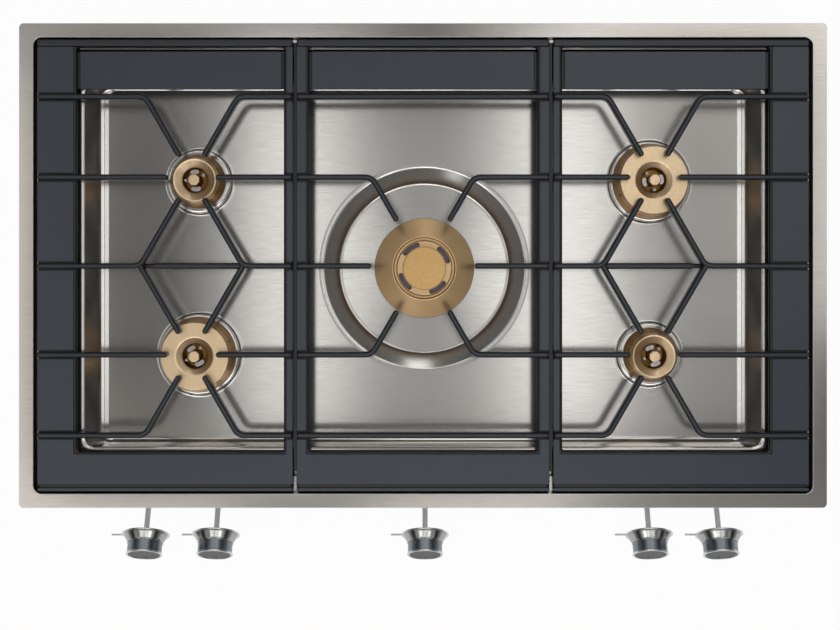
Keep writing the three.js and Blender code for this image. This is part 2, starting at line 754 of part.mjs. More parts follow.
function makeSideBurner(burner) {
  const low = -NECK_DROP - PROBE_TAIL;
  return [
    burnerBase(burner),
    burnerRing(burner),
    burnerCap(burner),
    ...probes(burner.name, burner.place, PROBE_CIRCLE, burner.igniterAngle, low, 0),
  ];
}

const wokSeat = -WOK_SEAT_DROP;
const wokInnerTop = -WOK_INNER_TOP_DROP;
const wokInnerSeat = wokInnerTop - WOK_INNER_THICKNESS;
const wokCapSeat = wokInnerTop + FIT;
const wokIgniterAngle = 60;

function wokBase() {
  const well = -WOK_WELL_DROP;
  const neck = -WOK_NECK_DROP;
  const body = turned(
    [
      [0, neck - INJECTOR_LENGTH / 2],
      [INJECTOR_RADIUS, neck - INJECTOR_LENGTH / 2],
      [INJECTOR_RADIUS, neck],
      [WOK_NECK_RADIUS, neck],
      [WOK_NECK_RADIUS, dishFloor + FIT],
      [WOK_SKIRT_FOOT, dishFloor + FIT],
      [WOK_SKIRT_TOP, wokSeat - FIT],
      [WOK_RING_OPENING, wokSeat - FIT],
      [WOK_RING_OPENING, well],
      [WOK_POST_RADIUS, well],
      [WOK_POST_RADIUS, wokInnerSeat - FIT],
      [0, wokInnerSeat - FIT],
    ],
    FINE_ROUND,
  );
  const angles = [wokIgniterAngle, thermocoupleAngle(wokIgniterAngle)];
  const holes = probeHoles(WOK_PROBE_CIRCLE, angles, neck - FIT, well + FIT);
  return part("wok_burner_base", cut(body, ...holes), DARK_BRASS, wokPlace);
}

function wokOuterRing() {
  const top = -WOK_RING_TOP_DROP;
  const body = turned(
    [
      [WOK_RING_OPENING, wokSeat],
      [WOK_RING_RADIUS, wokSeat],
      [WOK_RING_RADIUS, wokSeat + WOK_RING_EDGE],
      [WOK_RING_OPENING + WOK_RING_LIP, top],
      [WOK_RING_OPENING, top],
    ],
    FINE_ROUND,
  );
  const crown = cut(body, ...ports(WOK_PORTS, WOK_RING_RADIUS + RING_EDGE, wokSeat));
  return part("wok_outer_ring", crown, BRASS, wokPlace);
}

// The inner ring, with curved gas slots between it and the cap.
function wokInnerRing() {
  const half = THREE.MathUtils.degToRad(WOK_SLOT_ARC / 2);
  const near = WOK_SLOT_RADIUS - WOK_SLOT_WIDTH / 2;
  const far = WOK_SLOT_RADIUS + WOK_SLOT_WIDTH / 2;
  const disc = turned(
    [
      [0, wokInnerSeat],
      [WOK_INNER_RADIUS, wokInnerSeat],
      [WOK_INNER_RADIUS, wokInnerTop - RING_EDGE],
      [WOK_INNER_RADIUS - RING_EDGE, wokInnerTop],
      [0, wokInnerTop],
    ],
    ROUND,
  );
  const slots = Array.from({ length: WOK_SLOTS }, (_, i) => {
    const middle = THREE.MathUtils.degToRad(WOK_SLOT_TURN) + (i * 2 * Math.PI) / WOK_SLOTS;
    const shape = new THREE.Shape();
    shape.absarc(0, 0, far, middle - half, middle + half, false);
    shape.absarc(0, 0, near, middle + half, middle - half, true);
    const depth = WOK_INNER_THICKNESS + 2 * FIT;
    const slot = new THREE.ExtrudeGeometry(shape, { depth, bevelEnabled: false, curveSegments: 3 });
    return solid(slot.translate(0, 0, wokInnerSeat - FIT));
  });
  return part("wok_inner_ring", cut(disc, ...slots), BRASS, wokPlace);
}

function wokCap() {
  const top = wokCapSeat + WOK_CAP_THICKNESS;
  const lid = turned(
    [
      [0, wokCapSeat],
      [WOK_CAP_RADIUS, wokCapSeat],
      [WOK_CAP_RADIUS, top - 2 * CAP_EDGE],
      [WOK_CAP_RADIUS - CAP_EDGE, top],
      [0, top],
    ],
    ROUND,
  );
  return part("wok_cap", lid, BRASS, wokPlace);
}

function makeWokBurner() {
  const low = -WOK_NECK_DROP - PROBE_TAIL;
  const drop = WOK_INNER_THICKNESS + WOK_INNER_TOP_DROP - THERMOCOUPLE_TOP_DROP + FIT;
  return [
    wokBase(),
    wokOuterRing(),
    wokInnerRing(),
    wokCap(),
    ...probes("wok", wokPlace, WOK_PROBE_CIRCLE, wokIgniterAngle, low, drop),
  ];
}

// ---------------------------------------------------------------- knobs and gas taps

const KNOBS = [
  LEFT_PAIR - KNOB_PAIR / 2,
  LEFT_PAIR + KNOB_PAIR / 2,
  CENTRE_KNOB,
  RIGHT_PAIR - KNOB_PAIR / 2,
  RIGHT_PAIR + KNOB_PAIR / 2,
];
const tilt = THREE.MathUtils.degToRad(KNOB_TILT);
const flangeCentre = (x) => new THREE.Vector3(x, -RIM_DEPTH / 2 - KNOB_FRONT, -KNOB_DROP);
const inward = new THREE.Vector3(0, Math.cos(tilt), -Math.sin(tilt));
const alongTap = (x, distance) => flangeCentre(x).addScaledVector(inward, distance);
// Turns a piece drawn about +Z so that +Z points out of the tap, towards the user.
const tapTurn = Math.PI / 2 - tilt;
const tapMatrix = (x) =>
  new THREE.Matrix4().makeRotationX(tapTurn).setPosition(flangeCentre(x));
const tapBack = TAP_FACE + TAP_LENGTH;
const neckMouth = TAP_FACE - TAP_NECK_LENGTH;
const tapMiddle = TAP_FACE + TAP_LENGTH / 2;

function placed(piece, matrix) {
  return solid(geometryOf(piece).applyMatrix4(matrix));
}

// The spindle's section, or the hole for it when it grows by a clearance.
function spindleRod(low, high, grow = 0) {
  const radius = SPINDLE_RADIUS + grow;
  const flat = SPINDLE_FLAT + grow;
  const half = Math.acos(flat / radius);
  const shape = new THREE.Shape();
  shape.absarc(0, 0, radius, Math.PI / 2 + half, Math.PI / 2 - half + 2 * Math.PI);
  shape.closePath();
  const geometry = new THREE.ExtrudeGeometry(shape, {
    depth: high - low,
    bevelEnabled: false,
    curveSegments: 5,
  });
  return solid(geometry.translate(0, 0, low));
}

function knob(number, x) {
  const coneEnd = FLANGE_THICKNESS + CONE_LENGTH;
  const gripEnd = coneEnd + GRIP_LENGTH;
  const end = gripEnd + END_RING_LENGTH;
  const recess = END_RING_RADIUS - END_RING_WIDTH;
  const body = turned(
    [
      [0, 0],
      [FLANGE_RADIUS, 0],
      [FLANGE_RADIUS, FLANGE_THICKNESS],
      [CONE_RADIUS, FLANGE_THICKNESS],
      [GRIP_RADIUS, coneEnd],
      [GRIP_RADIUS, gripEnd],
      [END_RING_RADIUS, gripEnd + KNOB_EDGE],
      [END_RING_RADIUS, end],
      [recess, end],
      [recess, end - END_RECESS],
      [0, end - END_RECESS],
    ],
    ROUND,
  );
  const pointer = new THREE.CylinderGeometry(
    POINTER_RADIUS,
    POINTER_RADIUS,
    POINTER_LENGTH + FLANGE_RADIUS - CONE_RADIUS,
    ROD_ROUND,
  );
  pointer.rotateZ(Math.PI / 2);
  pointer.translate(-(FLANGE_RADIUS + CONE_RADIUS + POINTER_LENGTH) / 2, 0, FLANGE_THICKNESS / 2);
  const mark = block(
    [-INDEX_WIDTH / 2, recess - 1 - INDEX_LENGTH, end - END_RECESS - INDEX_DEPTH],
    [INDEX_WIDTH / 2, recess - 1, end],
    FIT,
  );
  const bore = spindleRod(-1, SPINDLE_IN_KNOB + FIT, FIT / 2);
  const whole = cut(union(body, solid(pointer)), mark, bore);
  return part(`knob_${number}`, whole, KNOB_STEEL);
}

function spindle(number) {
  const tip = -(neckMouth + PLUG_SET_BACK + SPINDLE_IN_PLUG);
  return part(`tap_spindle_${number}`, spindleRod(tip, SPINDLE_IN_KNOB), PROBE_STEEL);
}

// The tapered cock that turns in the tap body; the spindle slides in it.
function plug(number) {
  const front = -(neckMouth + PLUG_SET_BACK);
  const back = front - PLUG_LENGTH;
  const cone = turned(
    [
      [0, back],
      [PLUG_RADIUS - PLUG_TAPER, back],
      [PLUG_RADIUS, front],
      [0, front],
    ],
    SMALL_ROUND,
  );
  const bore = spindleRod(front - SPINDLE_IN_PLUG - KNOB_TRAVEL - 2 * FIT, front + FIT, FIT / 2);
  return part(`tap_plug_${number}`, cut(cone, bore), BRASS);
}

function tapBody(number, x) {
  const bore = PLUG_RADIUS + PLUG_PLAY;
  const boreEnd = neckMouth + PLUG_SET_BACK + PLUG_LENGTH + FIT;
  const turnedBody = turned(
    [
      [0, -tapBack - OUTLET_LENGTH],
      [OUTLET_RADIUS, -tapBack - OUTLET_LENGTH],
      [OUTLET_RADIUS, -tapBack],
      [TAP_RADIUS, -tapBack],
      [TAP_RADIUS, -TAP_FACE],
      [TAP_NECK_RADIUS, -TAP_FACE],
      [TAP_NECK_RADIUS, -neckMouth],
      [bore, -neckMouth],
      [bore - PLUG_TAPER, -boreEnd],
      [0, -boreEnd],
    ],
    SMALL_ROUND,
  );
  const middle = alongTap(x, tapMiddle);
  const stub = rod(STUB_RADIUS, -RAIL_DROP, middle.z, SMALL_ROUND, [x, middle.y]);
  const seatCut = new THREE.CylinderGeometry(
    RAIL_RADIUS + RAIL_PLAY,
    RAIL_RADIUS + RAIL_PLAY,
    6 * STUB_RADIUS,
    SMALL_ROUND,
  );
  seatCut.rotateZ(Math.PI / 2).translate(x, middle.y, -RAIL_DROP);
  const inside = rod(bore - PLUG_TAPER, -boreEnd, -neckMouth, SMALL_ROUND);
  const matrix = tapMatrix(x);
  const body = union(placed(turnedBody, matrix), cut(stub, solid(seatCut)));
  return part(`gas_tap_${number}`, cut(body, placed(inside, matrix)), TAP_METAL);
}

function makeTap(number, x) {
  const turning = new THREE.Group();
  turning.position.copy(flangeCentre(x));
  turning.rotation.x = tapTurn;
  turning.add(plug(number), spindle(number), knob(number, x));
  return [tapBody(number, x), turning];
}

// One folded sheet that all the taps are bolted to: a flange under the tray's ledge, an upright
// shoulder and a web square to the tap axes.
function makeBracket() {
  const low = KNOBS[0] - BRACKET_OVERHANG;
  const high = KNOBS.at(-1) + BRACKET_OVERHANG;
  const webLine = alongTap(0, TAP_FACE - FIT - BRACKET_SHEET / 2);
  const up = new THREE.Vector2(Math.sin(tilt), Math.cos(tilt));
  const axis = new THREE.Vector2(webLine.y, webLine.z);
  const flangeHeight = ledgeHeight - SHEET - FIT - BRACKET_SHEET / 2;
  const foldY = -(wellEnd - LEDGE_FRONT) - SHEET - FIT - BRACKET_SHEET / 2;
  const shoulderHeight = axis.y + ((foldY - axis.x) * up.y) / up.x;
  const line = [
    new THREE.Vector2(foldY - BRACKET_FLANGE, flangeHeight),
    new THREE.Vector2(foldY, flangeHeight),
    new THREE.Vector2(foldY, shoulderHeight),
    axis.clone().addScaledVector(up, -BRACKET_BELOW),
  ];
  const shape = new THREE.Shape(stripOutline(line, BRACKET_SHEET, false));
  const fold = new THREE.ExtrudeGeometry(shape, { depth: high - low, bevelEnabled: false });
  // The section is drawn in Y and Z, so its two axes and the run along X are turned round together.
  const matrix = new THREE.Matrix4().set(0, 0, 1, low, 1, 0, 0, 0, 0, 1, 0, 0, 0, 0, 0, 1);
  const sheet = solid(fold.applyMatrix4(matrix));
  const holes = KNOBS.map((x) => {
    const hole = rod(TAP_NECK_RADIUS + FIT, -TAP_FACE, -neckMouth, SMALL_ROUND);
    return placed(hole, tapMatrix(x));
  });
  return part("tap_bracket", cut(sheet, ...holes), ZINC_SHEET);
}

const railY = alongTap(0, tapMiddle).y;

// The gas rail lies along X under the taps: a plug at its left end, the gas inlet at its right.
function makeRail() {
  const start = KNOBS[0] - RAIL_OVERHANG;
  const end = KNOBS.at(-1) + RAIL_OVERHANG;
  const inletEnd = end + INLET_HEX_LENGTH + INLET_LENGTH;
  const tube = turned(
    [
      [0, start],
      [RAIL_RADIUS, start],
      [RAIL_RADIUS, end],
      [INLET_RADIUS, end],
      [INLET_RADIUS, inletEnd],
      [INLET_BORE, inletEnd],
      [INLET_BORE, end],
      [0, end],
    ],
    SMALL_ROUND,
  );
  const hex = (low) => rod(INLET_HEX, low, low + INLET_HEX_LENGTH, 6);
  const bored = cut(hex(end), rod(INLET_BORE, end, inletEnd, SMALL_ROUND));
  const rail = union(tube, hex(start - INLET_HEX_LENGTH), bored);
  const alongX = new THREE.Matrix4().makeRotationY(Math.PI / 2).setPosition(0, railY, -RAIL_DROP);
  return part("gas_rail", placed(rail, alongX), ZINC_SHEET);
}

// ---------------------------------------------------------------- pipes, box and module

const boxFront = -BOX_DEPTH / 2;
const [rearLeft, frontLeft, rearRight, frontRight] = SIDE_BURNERS;

// Which burner each tap feeds, left to right: the outer taps feed the burners at the back.
const FEEDS = [
  { target: rearLeft.place, neck: NECK_DROP, length: INJECTOR_LENGTH },
  { target: frontLeft.place, neck: NECK_DROP, length: INJECTOR_LENGTH },
  { target: wokPlace, neck: WOK_NECK_DROP, length: INJECTOR_LENGTH / 2 },
  { target: frontRight.place, neck: NECK_DROP, length: INJECTOR_LENGTH },
  { target: rearRight.place, neck: NECK_DROP, length: INJECTOR_LENGTH },
];

// Where a pipe passes the front wall of the box: part of the way over from its tap to its burner.
const gateX = (tapX, targetX) => tapX + (targetX - tapX) * PIPE_GATE;

function makePipe(number, x, { target, neck, length }) {
  const out = alongTap(x, tapBack + OUTLET_LENGTH + FIT);
  const [targetX, targetY] = target;
  const height = -neck - length / 2;
  const end = new THREE.Vector3(targetX, targetY - INJECTOR_RADIUS - FIT, height);
  const level = (px, py) => new THREE.Vector3(px, py, -PIPE_DROP);
  const curve = new THREE.CatmullRomCurve3(
    [
      out,
      out.clone().addScaledVector(inward, PIPE_STRAIGHT),
      level(gateX(x, targetX), boxFront),
      level(targetX, end.y - 3 * PIPE_STRAIGHT),
      end.clone().add(new THREE.Vector3(0, -PIPE_STRAIGHT, 0)),
      end,
    ],
    false,
    "centripetal",
  );
  const section = new THREE.Shape().absarc(0, 0, PIPE_RADIUS, 0, 2 * Math.PI);
  const tube = new THREE.ExtrudeGeometry(section, {
    steps: 11,
    curveSegments: 3,
    extrudePath: curve,
  });
  return part(`gas_pipe_${number}`, solid(tube), PIPE_METAL);
}

function makeBox() {
  const half = BOX_LENGTH / 2;
  const top = floorUnderside - FIT;
  const at = (grow, height) =>
    loop(half + grow, boxFront - grow, -boxFront + grow, BOX_CORNER + grow, height);
  const pan = loft([
    at(0, -BOX_UNDERSIDE),
    at(0, top - BOX_SHEET),
    at(BOX_FLANGE, top - BOX_SHEET),
    at(BOX_FLANGE, top),
    at(-BOX_SHEET, top),
    at(-BOX_SHEET, -BOX_UNDERSIDE + BOX_SHEET),
  ]);
  const holes = KNOBS.map((x, i) => {
    const reach = 10 * BOX_SHEET;
    const radius = PIPE_RADIUS + PIPE_HOLE_PLAY;
    const hole = new THREE.CylinderGeometry(radius, radius, reach, SMALL_ROUND);
    return solid(hole.translate(gateX(x, FEEDS[i].target[0]), boxFront, -PIPE_DROP));
  });
  return part("burner_box", cut(pan, ...holes), ZINC_SHEET);
}

function makeModule() {
  const back = -boxFront + FIT;
  const half = MODULE_LENGTH / 2;
  const body = block(
    [-half, back, -MODULE_DROP - MODULE_HEIGHT],
    [half, back + MODULE_DEPTH, -MODULE_DROP],
    MODULE_CORNER,
    2,
  );
  return part("ignition_module", body, MODULE_PLASTIC);
}

// ---------------------------------------------------------------- the cooktop

const cooktop = new THREE.Group();
cooktop.position.z = BOX_UNDERSIDE;
cooktop.add(
  makeTray(),
  makeSeal(),
  makeSideSupport("pan_support_left", -1),
  makeCentreSupport(),
  makeSideSupport("pan_support_right", 1),
  ...SIDE_BURNERS.flatMap(makeSideBurner),
  ...makeWokBurner(),
  ...KNOBS.flatMap((x, i) => makeTap(i + 1, x)),
  makeBracket(),
  makeRail(),
  ...KNOBS.map((x, i) => makePipe(i + 1, x, FEEDS[i])),
  makeBox(),
  makeModule(),
);

export default cooktop;
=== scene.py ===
"""A built-in gas cooktop seen straight from above, dressed piece by piece.

Every size is in millimetres, drawn about the centre of the rim's top face. A finished mesh is
carried over to the frame's metres when it leaves the bench.
"""

import logging
import math
from collections.abc import Callable
from dataclasses import dataclass, field
from enum import Enum

import bmesh
import bpy
from mathutils import Matrix, Vector


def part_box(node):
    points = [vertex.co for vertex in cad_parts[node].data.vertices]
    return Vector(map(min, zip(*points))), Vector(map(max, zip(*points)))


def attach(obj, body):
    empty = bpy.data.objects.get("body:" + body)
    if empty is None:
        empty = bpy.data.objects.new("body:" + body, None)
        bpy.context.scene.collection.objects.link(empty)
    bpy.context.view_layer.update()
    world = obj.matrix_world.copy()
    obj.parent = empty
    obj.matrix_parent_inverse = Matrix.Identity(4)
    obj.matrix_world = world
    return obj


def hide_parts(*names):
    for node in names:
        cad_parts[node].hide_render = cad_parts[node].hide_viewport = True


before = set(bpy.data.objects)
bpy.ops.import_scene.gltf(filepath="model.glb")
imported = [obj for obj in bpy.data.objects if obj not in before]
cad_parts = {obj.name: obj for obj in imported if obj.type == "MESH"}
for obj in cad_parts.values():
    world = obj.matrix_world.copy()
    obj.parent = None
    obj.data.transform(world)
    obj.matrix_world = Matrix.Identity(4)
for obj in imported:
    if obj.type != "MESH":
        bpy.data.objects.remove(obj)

LOG = logging.getLogger("cooktop")
MM = 0.001
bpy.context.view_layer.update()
RIM_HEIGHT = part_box("tray")[1].z
TO_FRAME = Matrix.Translation((0.0, 0.0, RIM_HEIGHT)) @ Matrix.Diagonal((MM, MM, MM, 1.0))

# The attribute that keeps each point's place about the piece's own axes, in metres.
BENCH = "bench"

# How near two points, heights or distances have to be to count as the same, in millimetres.
SPIN_WELD = 1e-4
PIECE_WELD = 2e-4
LEVEL_PLAY = 1e-5
HEIGHT_PLAY = 1e-3
RADIUS_PLAY = 1e-2

# Facets that a flame ring has for each of its ports.
FACETS_A_PORT = 8

# The least turn from a plate's top to its wall, in radians.
WALL_TURN = 1.0

Pair = tuple[float, float]
Triple = tuple[float, float, float]
Colour = tuple[float, float, float]


def plan_middle(node: str) -> Pair:
    """The middle of a frame node seen from above, in millimetres."""
    low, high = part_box(node)
    return (low.x + high.x) / (2 * MM), (low.y + high.y) / (2 * MM)


class Body(Enum):
    """Moving bodies of the cooktop."""

    HOB = "hob_body"
    SUPPORT_LEFT = "pan_support_left"
    SUPPORT_CENTRE = "pan_support_centre"
    SUPPORT_RIGHT = "pan_support_right"


class Slot(Enum):
    """Material slots of the record."""

    STEEL = "brushed_steel"
    ZINC = "zinc_sheet"
    ENAMEL = "cast_enamel"
    BRASS = "brass"
    DARK_BRASS = "dark_brass"
    CERAMIC = "ceramic"
    PROBE = "probe_steel"
    TAP = "tap_metal"
    KNOB = "knob_steel"
    PIPE = "pipe"
    SEAL = "seal"
    MODULE = "module"


# ---------------------------------------------------------------- bench work


def eased(points: list[Vector], reach: list[float], steps: int = 5) -> list[Vector]:
    """Rounds the bends of a path, a profile or a row of stations.

    Args:
        points: Vectors of any one size, in order.
        reach: How far before and after each inner point its bend begins and ends.
        steps: Number of chords in a bend.

    Returns:
        The path with each bend drawn as a smooth curve.
    """
    path = [points[0]]
    for before, corner, after, length in zip(points, points[1:], points[2:], reach):
        if length <= 0:
            path.append(corner)
            continue
        inward, outward = before - corner, after - corner
        start = corner + inward.normalized() * min(length, 0.48 * inward.length)
        end = corner + outward.normalized() * min(length, 0.48 * outward.length)
        for step in range(steps + 1):
            t = step / steps
            path.append((1 - t) ** 2 * start + 2 * t * (1 - t) * corner + t * t * end)
    path.append(points[-1])
    return path


def flat_path(*points: Pair) -> list[Vector]:
    """Points of a profile or a plan as vectors."""
    return [Vector(point) for point in points]


def stations(path: list[Vector], up: Vector) -> list[Matrix]:
    """Finds the frame of a section at each point of a path, mitred at the bends.

    Args:
        path: Points of the path in space.
        up: Direction that the section's second axis leans to.

    Returns:
        One matrix for each point, which puts the section's plane there.
    """
    frames = []
    for index, point in enumerate(path):
        into = (point - path[index - 1]).normalized() if index else None
        out = (path[index + 1] - point).normalized() if index < len(path) - 1 else None
        along = ((into or out) + (out or into)).normalized()
        mitre = 1.0 / max(along.dot(into or out), 0.3)
        side = along.cross(up).normalized()
        rise = side.cross(along)
        frame_at = Matrix((side * mitre, rise, along)).transposed().to_4x4()
        frame_at.translation = point
        frames.append(frame_at)
    return frames


def circle_points(radius: float, count: int) -> list[Pair]:
    """Points round a circle, for a round section or plate."""
    turns = (math.tau * i / count for i in range(count))
    return [(radius * math.cos(turn), radius * math.sin(turn)) for turn in turns]


def rounded(level: Vector, segments: int) -> list[Vector]:
    """Corners of a rectangle with rounded corners.

    Args:
        level: Low X, high X, low Y, high Y, corner radius and height.
        segments: Chords in each corner.

    Returns:
        The corners in order.
    """
    x0, x1, y0, y1, corner, height = level
    centres = ((x1 - corner, y1 - corner), (x0 + corner, y1 - corner))
    centres += ((x0 + corner, y0 + corner), (x1 - corner, y0 + corner))
    made = []
    for quarter, (x, y) in enumerate(centres):
        for i in range(segments + 1):
            turn = math.pi / 2 * (quarter + i / segments)
            made.append(Vector((x + corner * math.cos(turn), y + corner * math.sin(turn), height)))
    return made


class Blank:
    """A mesh on the bench, worked with mesh operators in millimetres."""

    def __init__(self) -> None:
        """Starts an empty mesh."""
        self.bm = bmesh.new()

    def turn(
        self, profile: list[Vector], steps: int = 64, at: Pair = (0.0, 0.0), closed: bool = True
    ) -> None:
        """Turns a profile about an upright axis.

        Args:
            profile: Points of radius and height.
            steps: Number of facets round the axis.
            at: Where the axis stands.
            closed: Whether a profile that stays clear of the axis closes on itself.
        """
        verts = [self.bm.verts.new((at[0] + p[0], at[1], p[1])) for p in profile]
        edges = [self.bm.edges.new(pair) for pair in zip(verts, verts[1:])]
        if closed and (profile[0][0] > 0 or profile[-1][0] > 0):
            edges.append(self.bm.edges.new((verts[-1], verts[0])))
        bmesh.ops.spin(
            self.bm, geom=verts + edges, cent=(at[0], at[1], 0.0), axis=(0.0, 0.0, 1.0),
            angle=math.tau, steps=steps, use_merge=True,
        )
        bmesh.ops.remove_doubles(self.bm, verts=self.bm.verts, dist=SPIN_WELD)

    def circle_edges(self, at: Pair, radius: float, height: float) -> list[bmesh.types.BMEdge]:
        """Finds the edges that lie on a level circle.

        Args:
            at: Centre of the circle.
            radius: Its radius.
            height: Its height.

        Returns:
            The edges.
        """
        return [
            edge
            for edge in self.bm.edges
            if all(
                abs(v.co.z - height) < HEIGHT_PLAY
                and abs(math.hypot(v.co.x - at[0], v.co.y - at[1]) - radius) < RADIUS_PLAY
                for v in edge.verts
            )
        ]

    def mill_ports(self, low: float, high: float, reach: float, share: float) -> None:
        """Mills flame ports into the outside of a turned ring.

        Args:
            low: Height of their foot.
            high: Height of their top.
            reach: Least distance of the ring's outside from its axis.
            share: Where a port ends, as a share of the ring's radius.
        """
        play = RADIUS_PLAY
        faces = [
            face
            for face in self.bm.faces
            if all(low - play < v.co.z < high + play for v in face.verts)
            and face.calc_center_median().xy.length > reach
        ]
        faces.sort(key=lambda face: math.atan2(*face.calc_center_median().yx))
        grown = bmesh.ops.extrude_discrete_faces(self.bm, faces=faces[::FACETS_A_PORT])["faces"]
        verts = {vert for face in grown for vert in face.verts}
        bmesh.ops.scale(self.bm, vec=(share, share, 1.0), verts=list(verts))

    def skin(self, levels: list[Vector], segments: int = 8) -> list[list[bmesh.types.BMEdge]]:
        """Draws a skin over rounded rectangles, extruding each from the one before.

        Args:
            levels: Low X, high X, low Y, high Y, corner radius and height of each.
            segments: Chords in each corner.

        Returns:
            The edges of each loop.
        """
        outlines = [rounded(level, segments) for level in levels]
        verts = [self.bm.verts.new(point) for point in outlines[0]]
        edges = [self.bm.edges.new(pair) for pair in zip(verts, verts[1:] + verts[:1])]
        loops = [edges]
        for outline in outlines[1:]:
            order = {vert: i for i, vert in enumerate(verts)}
            grown = bmesh.ops.extrude_edge_only(self.bm, edges=edges)["geom"]
            fresh = {part for part in grown if isinstance(part, bmesh.types.BMVert)}
            verts = [None] * len(order)
            for vert in fresh:
                at = next(order[v] for e in vert.link_edges for v in e.verts if v in order)
                verts[at] = vert
            for vert, point in zip(verts, outline):
                vert.co = point
            edges = [
                part
                for part in grown
                if isinstance(part, bmesh.types.BMEdge) and fresh.issuperset(part.verts)
            ]
            loops.append(edges)
        return loops

    def fill(self, *loops: list[bmesh.types.BMEdge]) -> None:
        """Fills the flat face that the first loop bounds, leaving the others open in it."""
        edges = [edge for one in loops for edge in one]
        bmesh.ops.triangle_fill(self.bm, edges=edges, use_beauty=True, normal=(0, 0, 1))

    def pad(
        self, outline: list[Pair], low: float, high: float, corner: float = 1.0, edge: float = 0.6,
        segments: int = 3, holes: list[list[Pair]] | None = None,
    ) -> None:
        """Raises a plate from its outline and rounds its corners and its upper edge.

        Args:
            outline: Corners of the plate in plan.
            low: Height of its underside.
            high: Height of its top.
            corner: Radius of the upright corners.
            edge: Width of the rounding along the top.
            segments: Fineness of that rounding.
            holes: Outlines of openings in it.
        """
        work = bmesh.new()
        for shape in [outline, *(holes or [])]:
            verts = [work.verts.new((x, y, low)) for x, y in shape]
            for pair in zip(verts, verts[1:] + verts[:1]):
                work.edges.new(pair)
            bmesh.ops.bevel(
                work, geom=verts, offset=corner, segments=4, profile=0.5, affect="VERTICES",
                material=-1,
            )
        bmesh.ops.triangle_fill(work, edges=work.edges[:], use_beauty=True, normal=(0, 0, 1))
        if not holes:
            inner = [edge for edge in work.edges if len(edge.link_faces) == 2]
            bmesh.ops.dissolve_edges(work, edges=inner)
        raised = bmesh.ops.extrude_face_region(work, geom=work.faces[:])["geom"]
        tops = [part for part in raised if isinstance(part, bmesh.types.BMVert)]
        bmesh.ops.translate(work, verts=tops, vec=(0.0, 0.0, high - low))
        bmesh.ops.recalc_face_normals(work, faces=work.faces[:])
        if edge > 0:
            rims = [
                e
                for e in work.edges
                if all(abs(v.co.z - high) < LEVEL_PLAY for v in e.verts)
                and len(e.link_faces) == 2
                and e.calc_face_angle(0.0) > WALL_TURN
            ]
            bmesh.ops.bevel(
                work, geom=rims, offset=edge, segments=segments, profile=0.5, affect="EDGES",
                material=-1,
            )
        self.absorb(work)

    def absorb(self, other: bmesh.types.BMesh, place: Matrix | None = None) -> None:
        """Takes in another mesh, moved by a matrix where one is given."""
        if place is not None:
            bmesh.ops.transform(other, matrix=place, verts=other.verts[:])
        carrier = bpy.data.meshes.new("carrier")
        other.to_mesh(carrier)
        other.free()
        self.bm.from_mesh(carrier)
        bpy.data.meshes.remove(carrier)

    def sweep(self, section: list[Pair], frames: list[Matrix]) -> None:
        """Carries a section along its stations by extruding its end face.

        Args:
            section: Corners of the section.
            frames: Where the section stands at each station.
        """
        verts = [self.bm.verts.new(frames[0] @ Vector((u, v, 0.0))) for u, v in section]
        face = self.bm.faces.new(verts)
        for before, after in zip(frames, frames[1:]):
            grown = bmesh.ops.extrude_face_region(self.bm, geom=[face])["geom"]
            face = next(part for part in grown if isinstance(part, bmesh.types.BMFace))
            moved = [part for part in grown if isinstance(part, bmesh.types.BMVert)]
            bmesh.ops.transform(self.bm, matrix=after @ before.inverted(), verts=moved)

    def soften(
        self, width: float, segments: int = 3, sharper: float = 35.0,
        where: Callable[[Vector], bool] | None = None,
    ) -> None:
        """Rounds the sharp edges.

        Args:
            width: Width of the rounding.
            segments: Fineness of the rounding.
            sharper: Least angle between the faces of an edge, in degrees.
            where: Says, from an edge's middle, whether the edge is taken.
        """
        bmesh.ops.recalc_face_normals(self.bm, faces=self.bm.faces[:])
        chosen = [
            edge
            for edge in self.bm.edges
            if len(edge.link_faces) == 2
            and edge.calc_face_angle(0.0) > math.radians(sharper)
            and (where is None or where((edge.verts[0].co + edge.verts[1].co) / 2))
        ]
        bmesh.ops.bevel(
            self.bm, geom=chosen, offset=width, segments=segments, profile=0.5, affect="EDGES",
            clamp_overlap=True, material=-1,
        )

    def leave(
        self, name: str, body: str, slot: Slot, nodes: list[str], paint: bpy.types.Material,
        place: Matrix | None = None, crease: float = 38.0,
    ) -> bpy.types.Object:
        """Takes the piece off the bench and fits it on the cooktop.

        Args:
            name: Name of the piece.
            body: Body that it moves with.
            slot: Material slot of the record; not used.
            nodes: Plain solids that it stands for.
            paint: Its finish.
            place: Where its own axes stand about the rim's centre.
            crease: Angle above which an edge stays sharp, in degrees.

        Returns:
            The piece.
        """
        place = place or Matrix.Identity(4)
        bmesh.ops.remove_doubles(self.bm, verts=self.bm.verts[:], dist=PIECE_WELD)
        bmesh.ops.recalc_face_normals(self.bm, faces=self.bm.faces[:])
        mesh = bpy.data.meshes.new(name)
        self.bm.to_mesh(mesh)
        self.bm.free()
        own = [c * MM for vert in mesh.vertices for c in vert.co]
        mesh.attributes.new(BENCH, "FLOAT_VECTOR", "POINT").data.foreach_set("vector", own)
        mesh.transform(TO_FRAME @ place)
        mesh.shade_smooth()
        mesh.set_sharp_from_angle(angle=math.radians(crease))
        mesh.materials.append(paint)
        piece = bpy.data.objects.new(name, mesh)
        bpy.context.scene.collection.objects.link(piece)
        weights = piece.modifiers.new("even_shading", "WEIGHTED_NORMAL")
        weights.keep_sharp = True
        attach(piece, body)
        if nodes:
            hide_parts(*nodes)
        LOG.info("%s: %d faces on %s", name, len(mesh.polygons), body)
        return piece


# ---------------------------------------------------------------- finishes


# Sockets of a Mix node that mixes colours; their names are shared by its other sockets.
MIX_FIRST = 6
MIX_SECOND = 7
MIX_RESULT = 2

# Height over the rim, in metres, above which a pan support is bar and no longer plate, for the painted
# shade over the bars.
PLATE_TOP = 0.0008
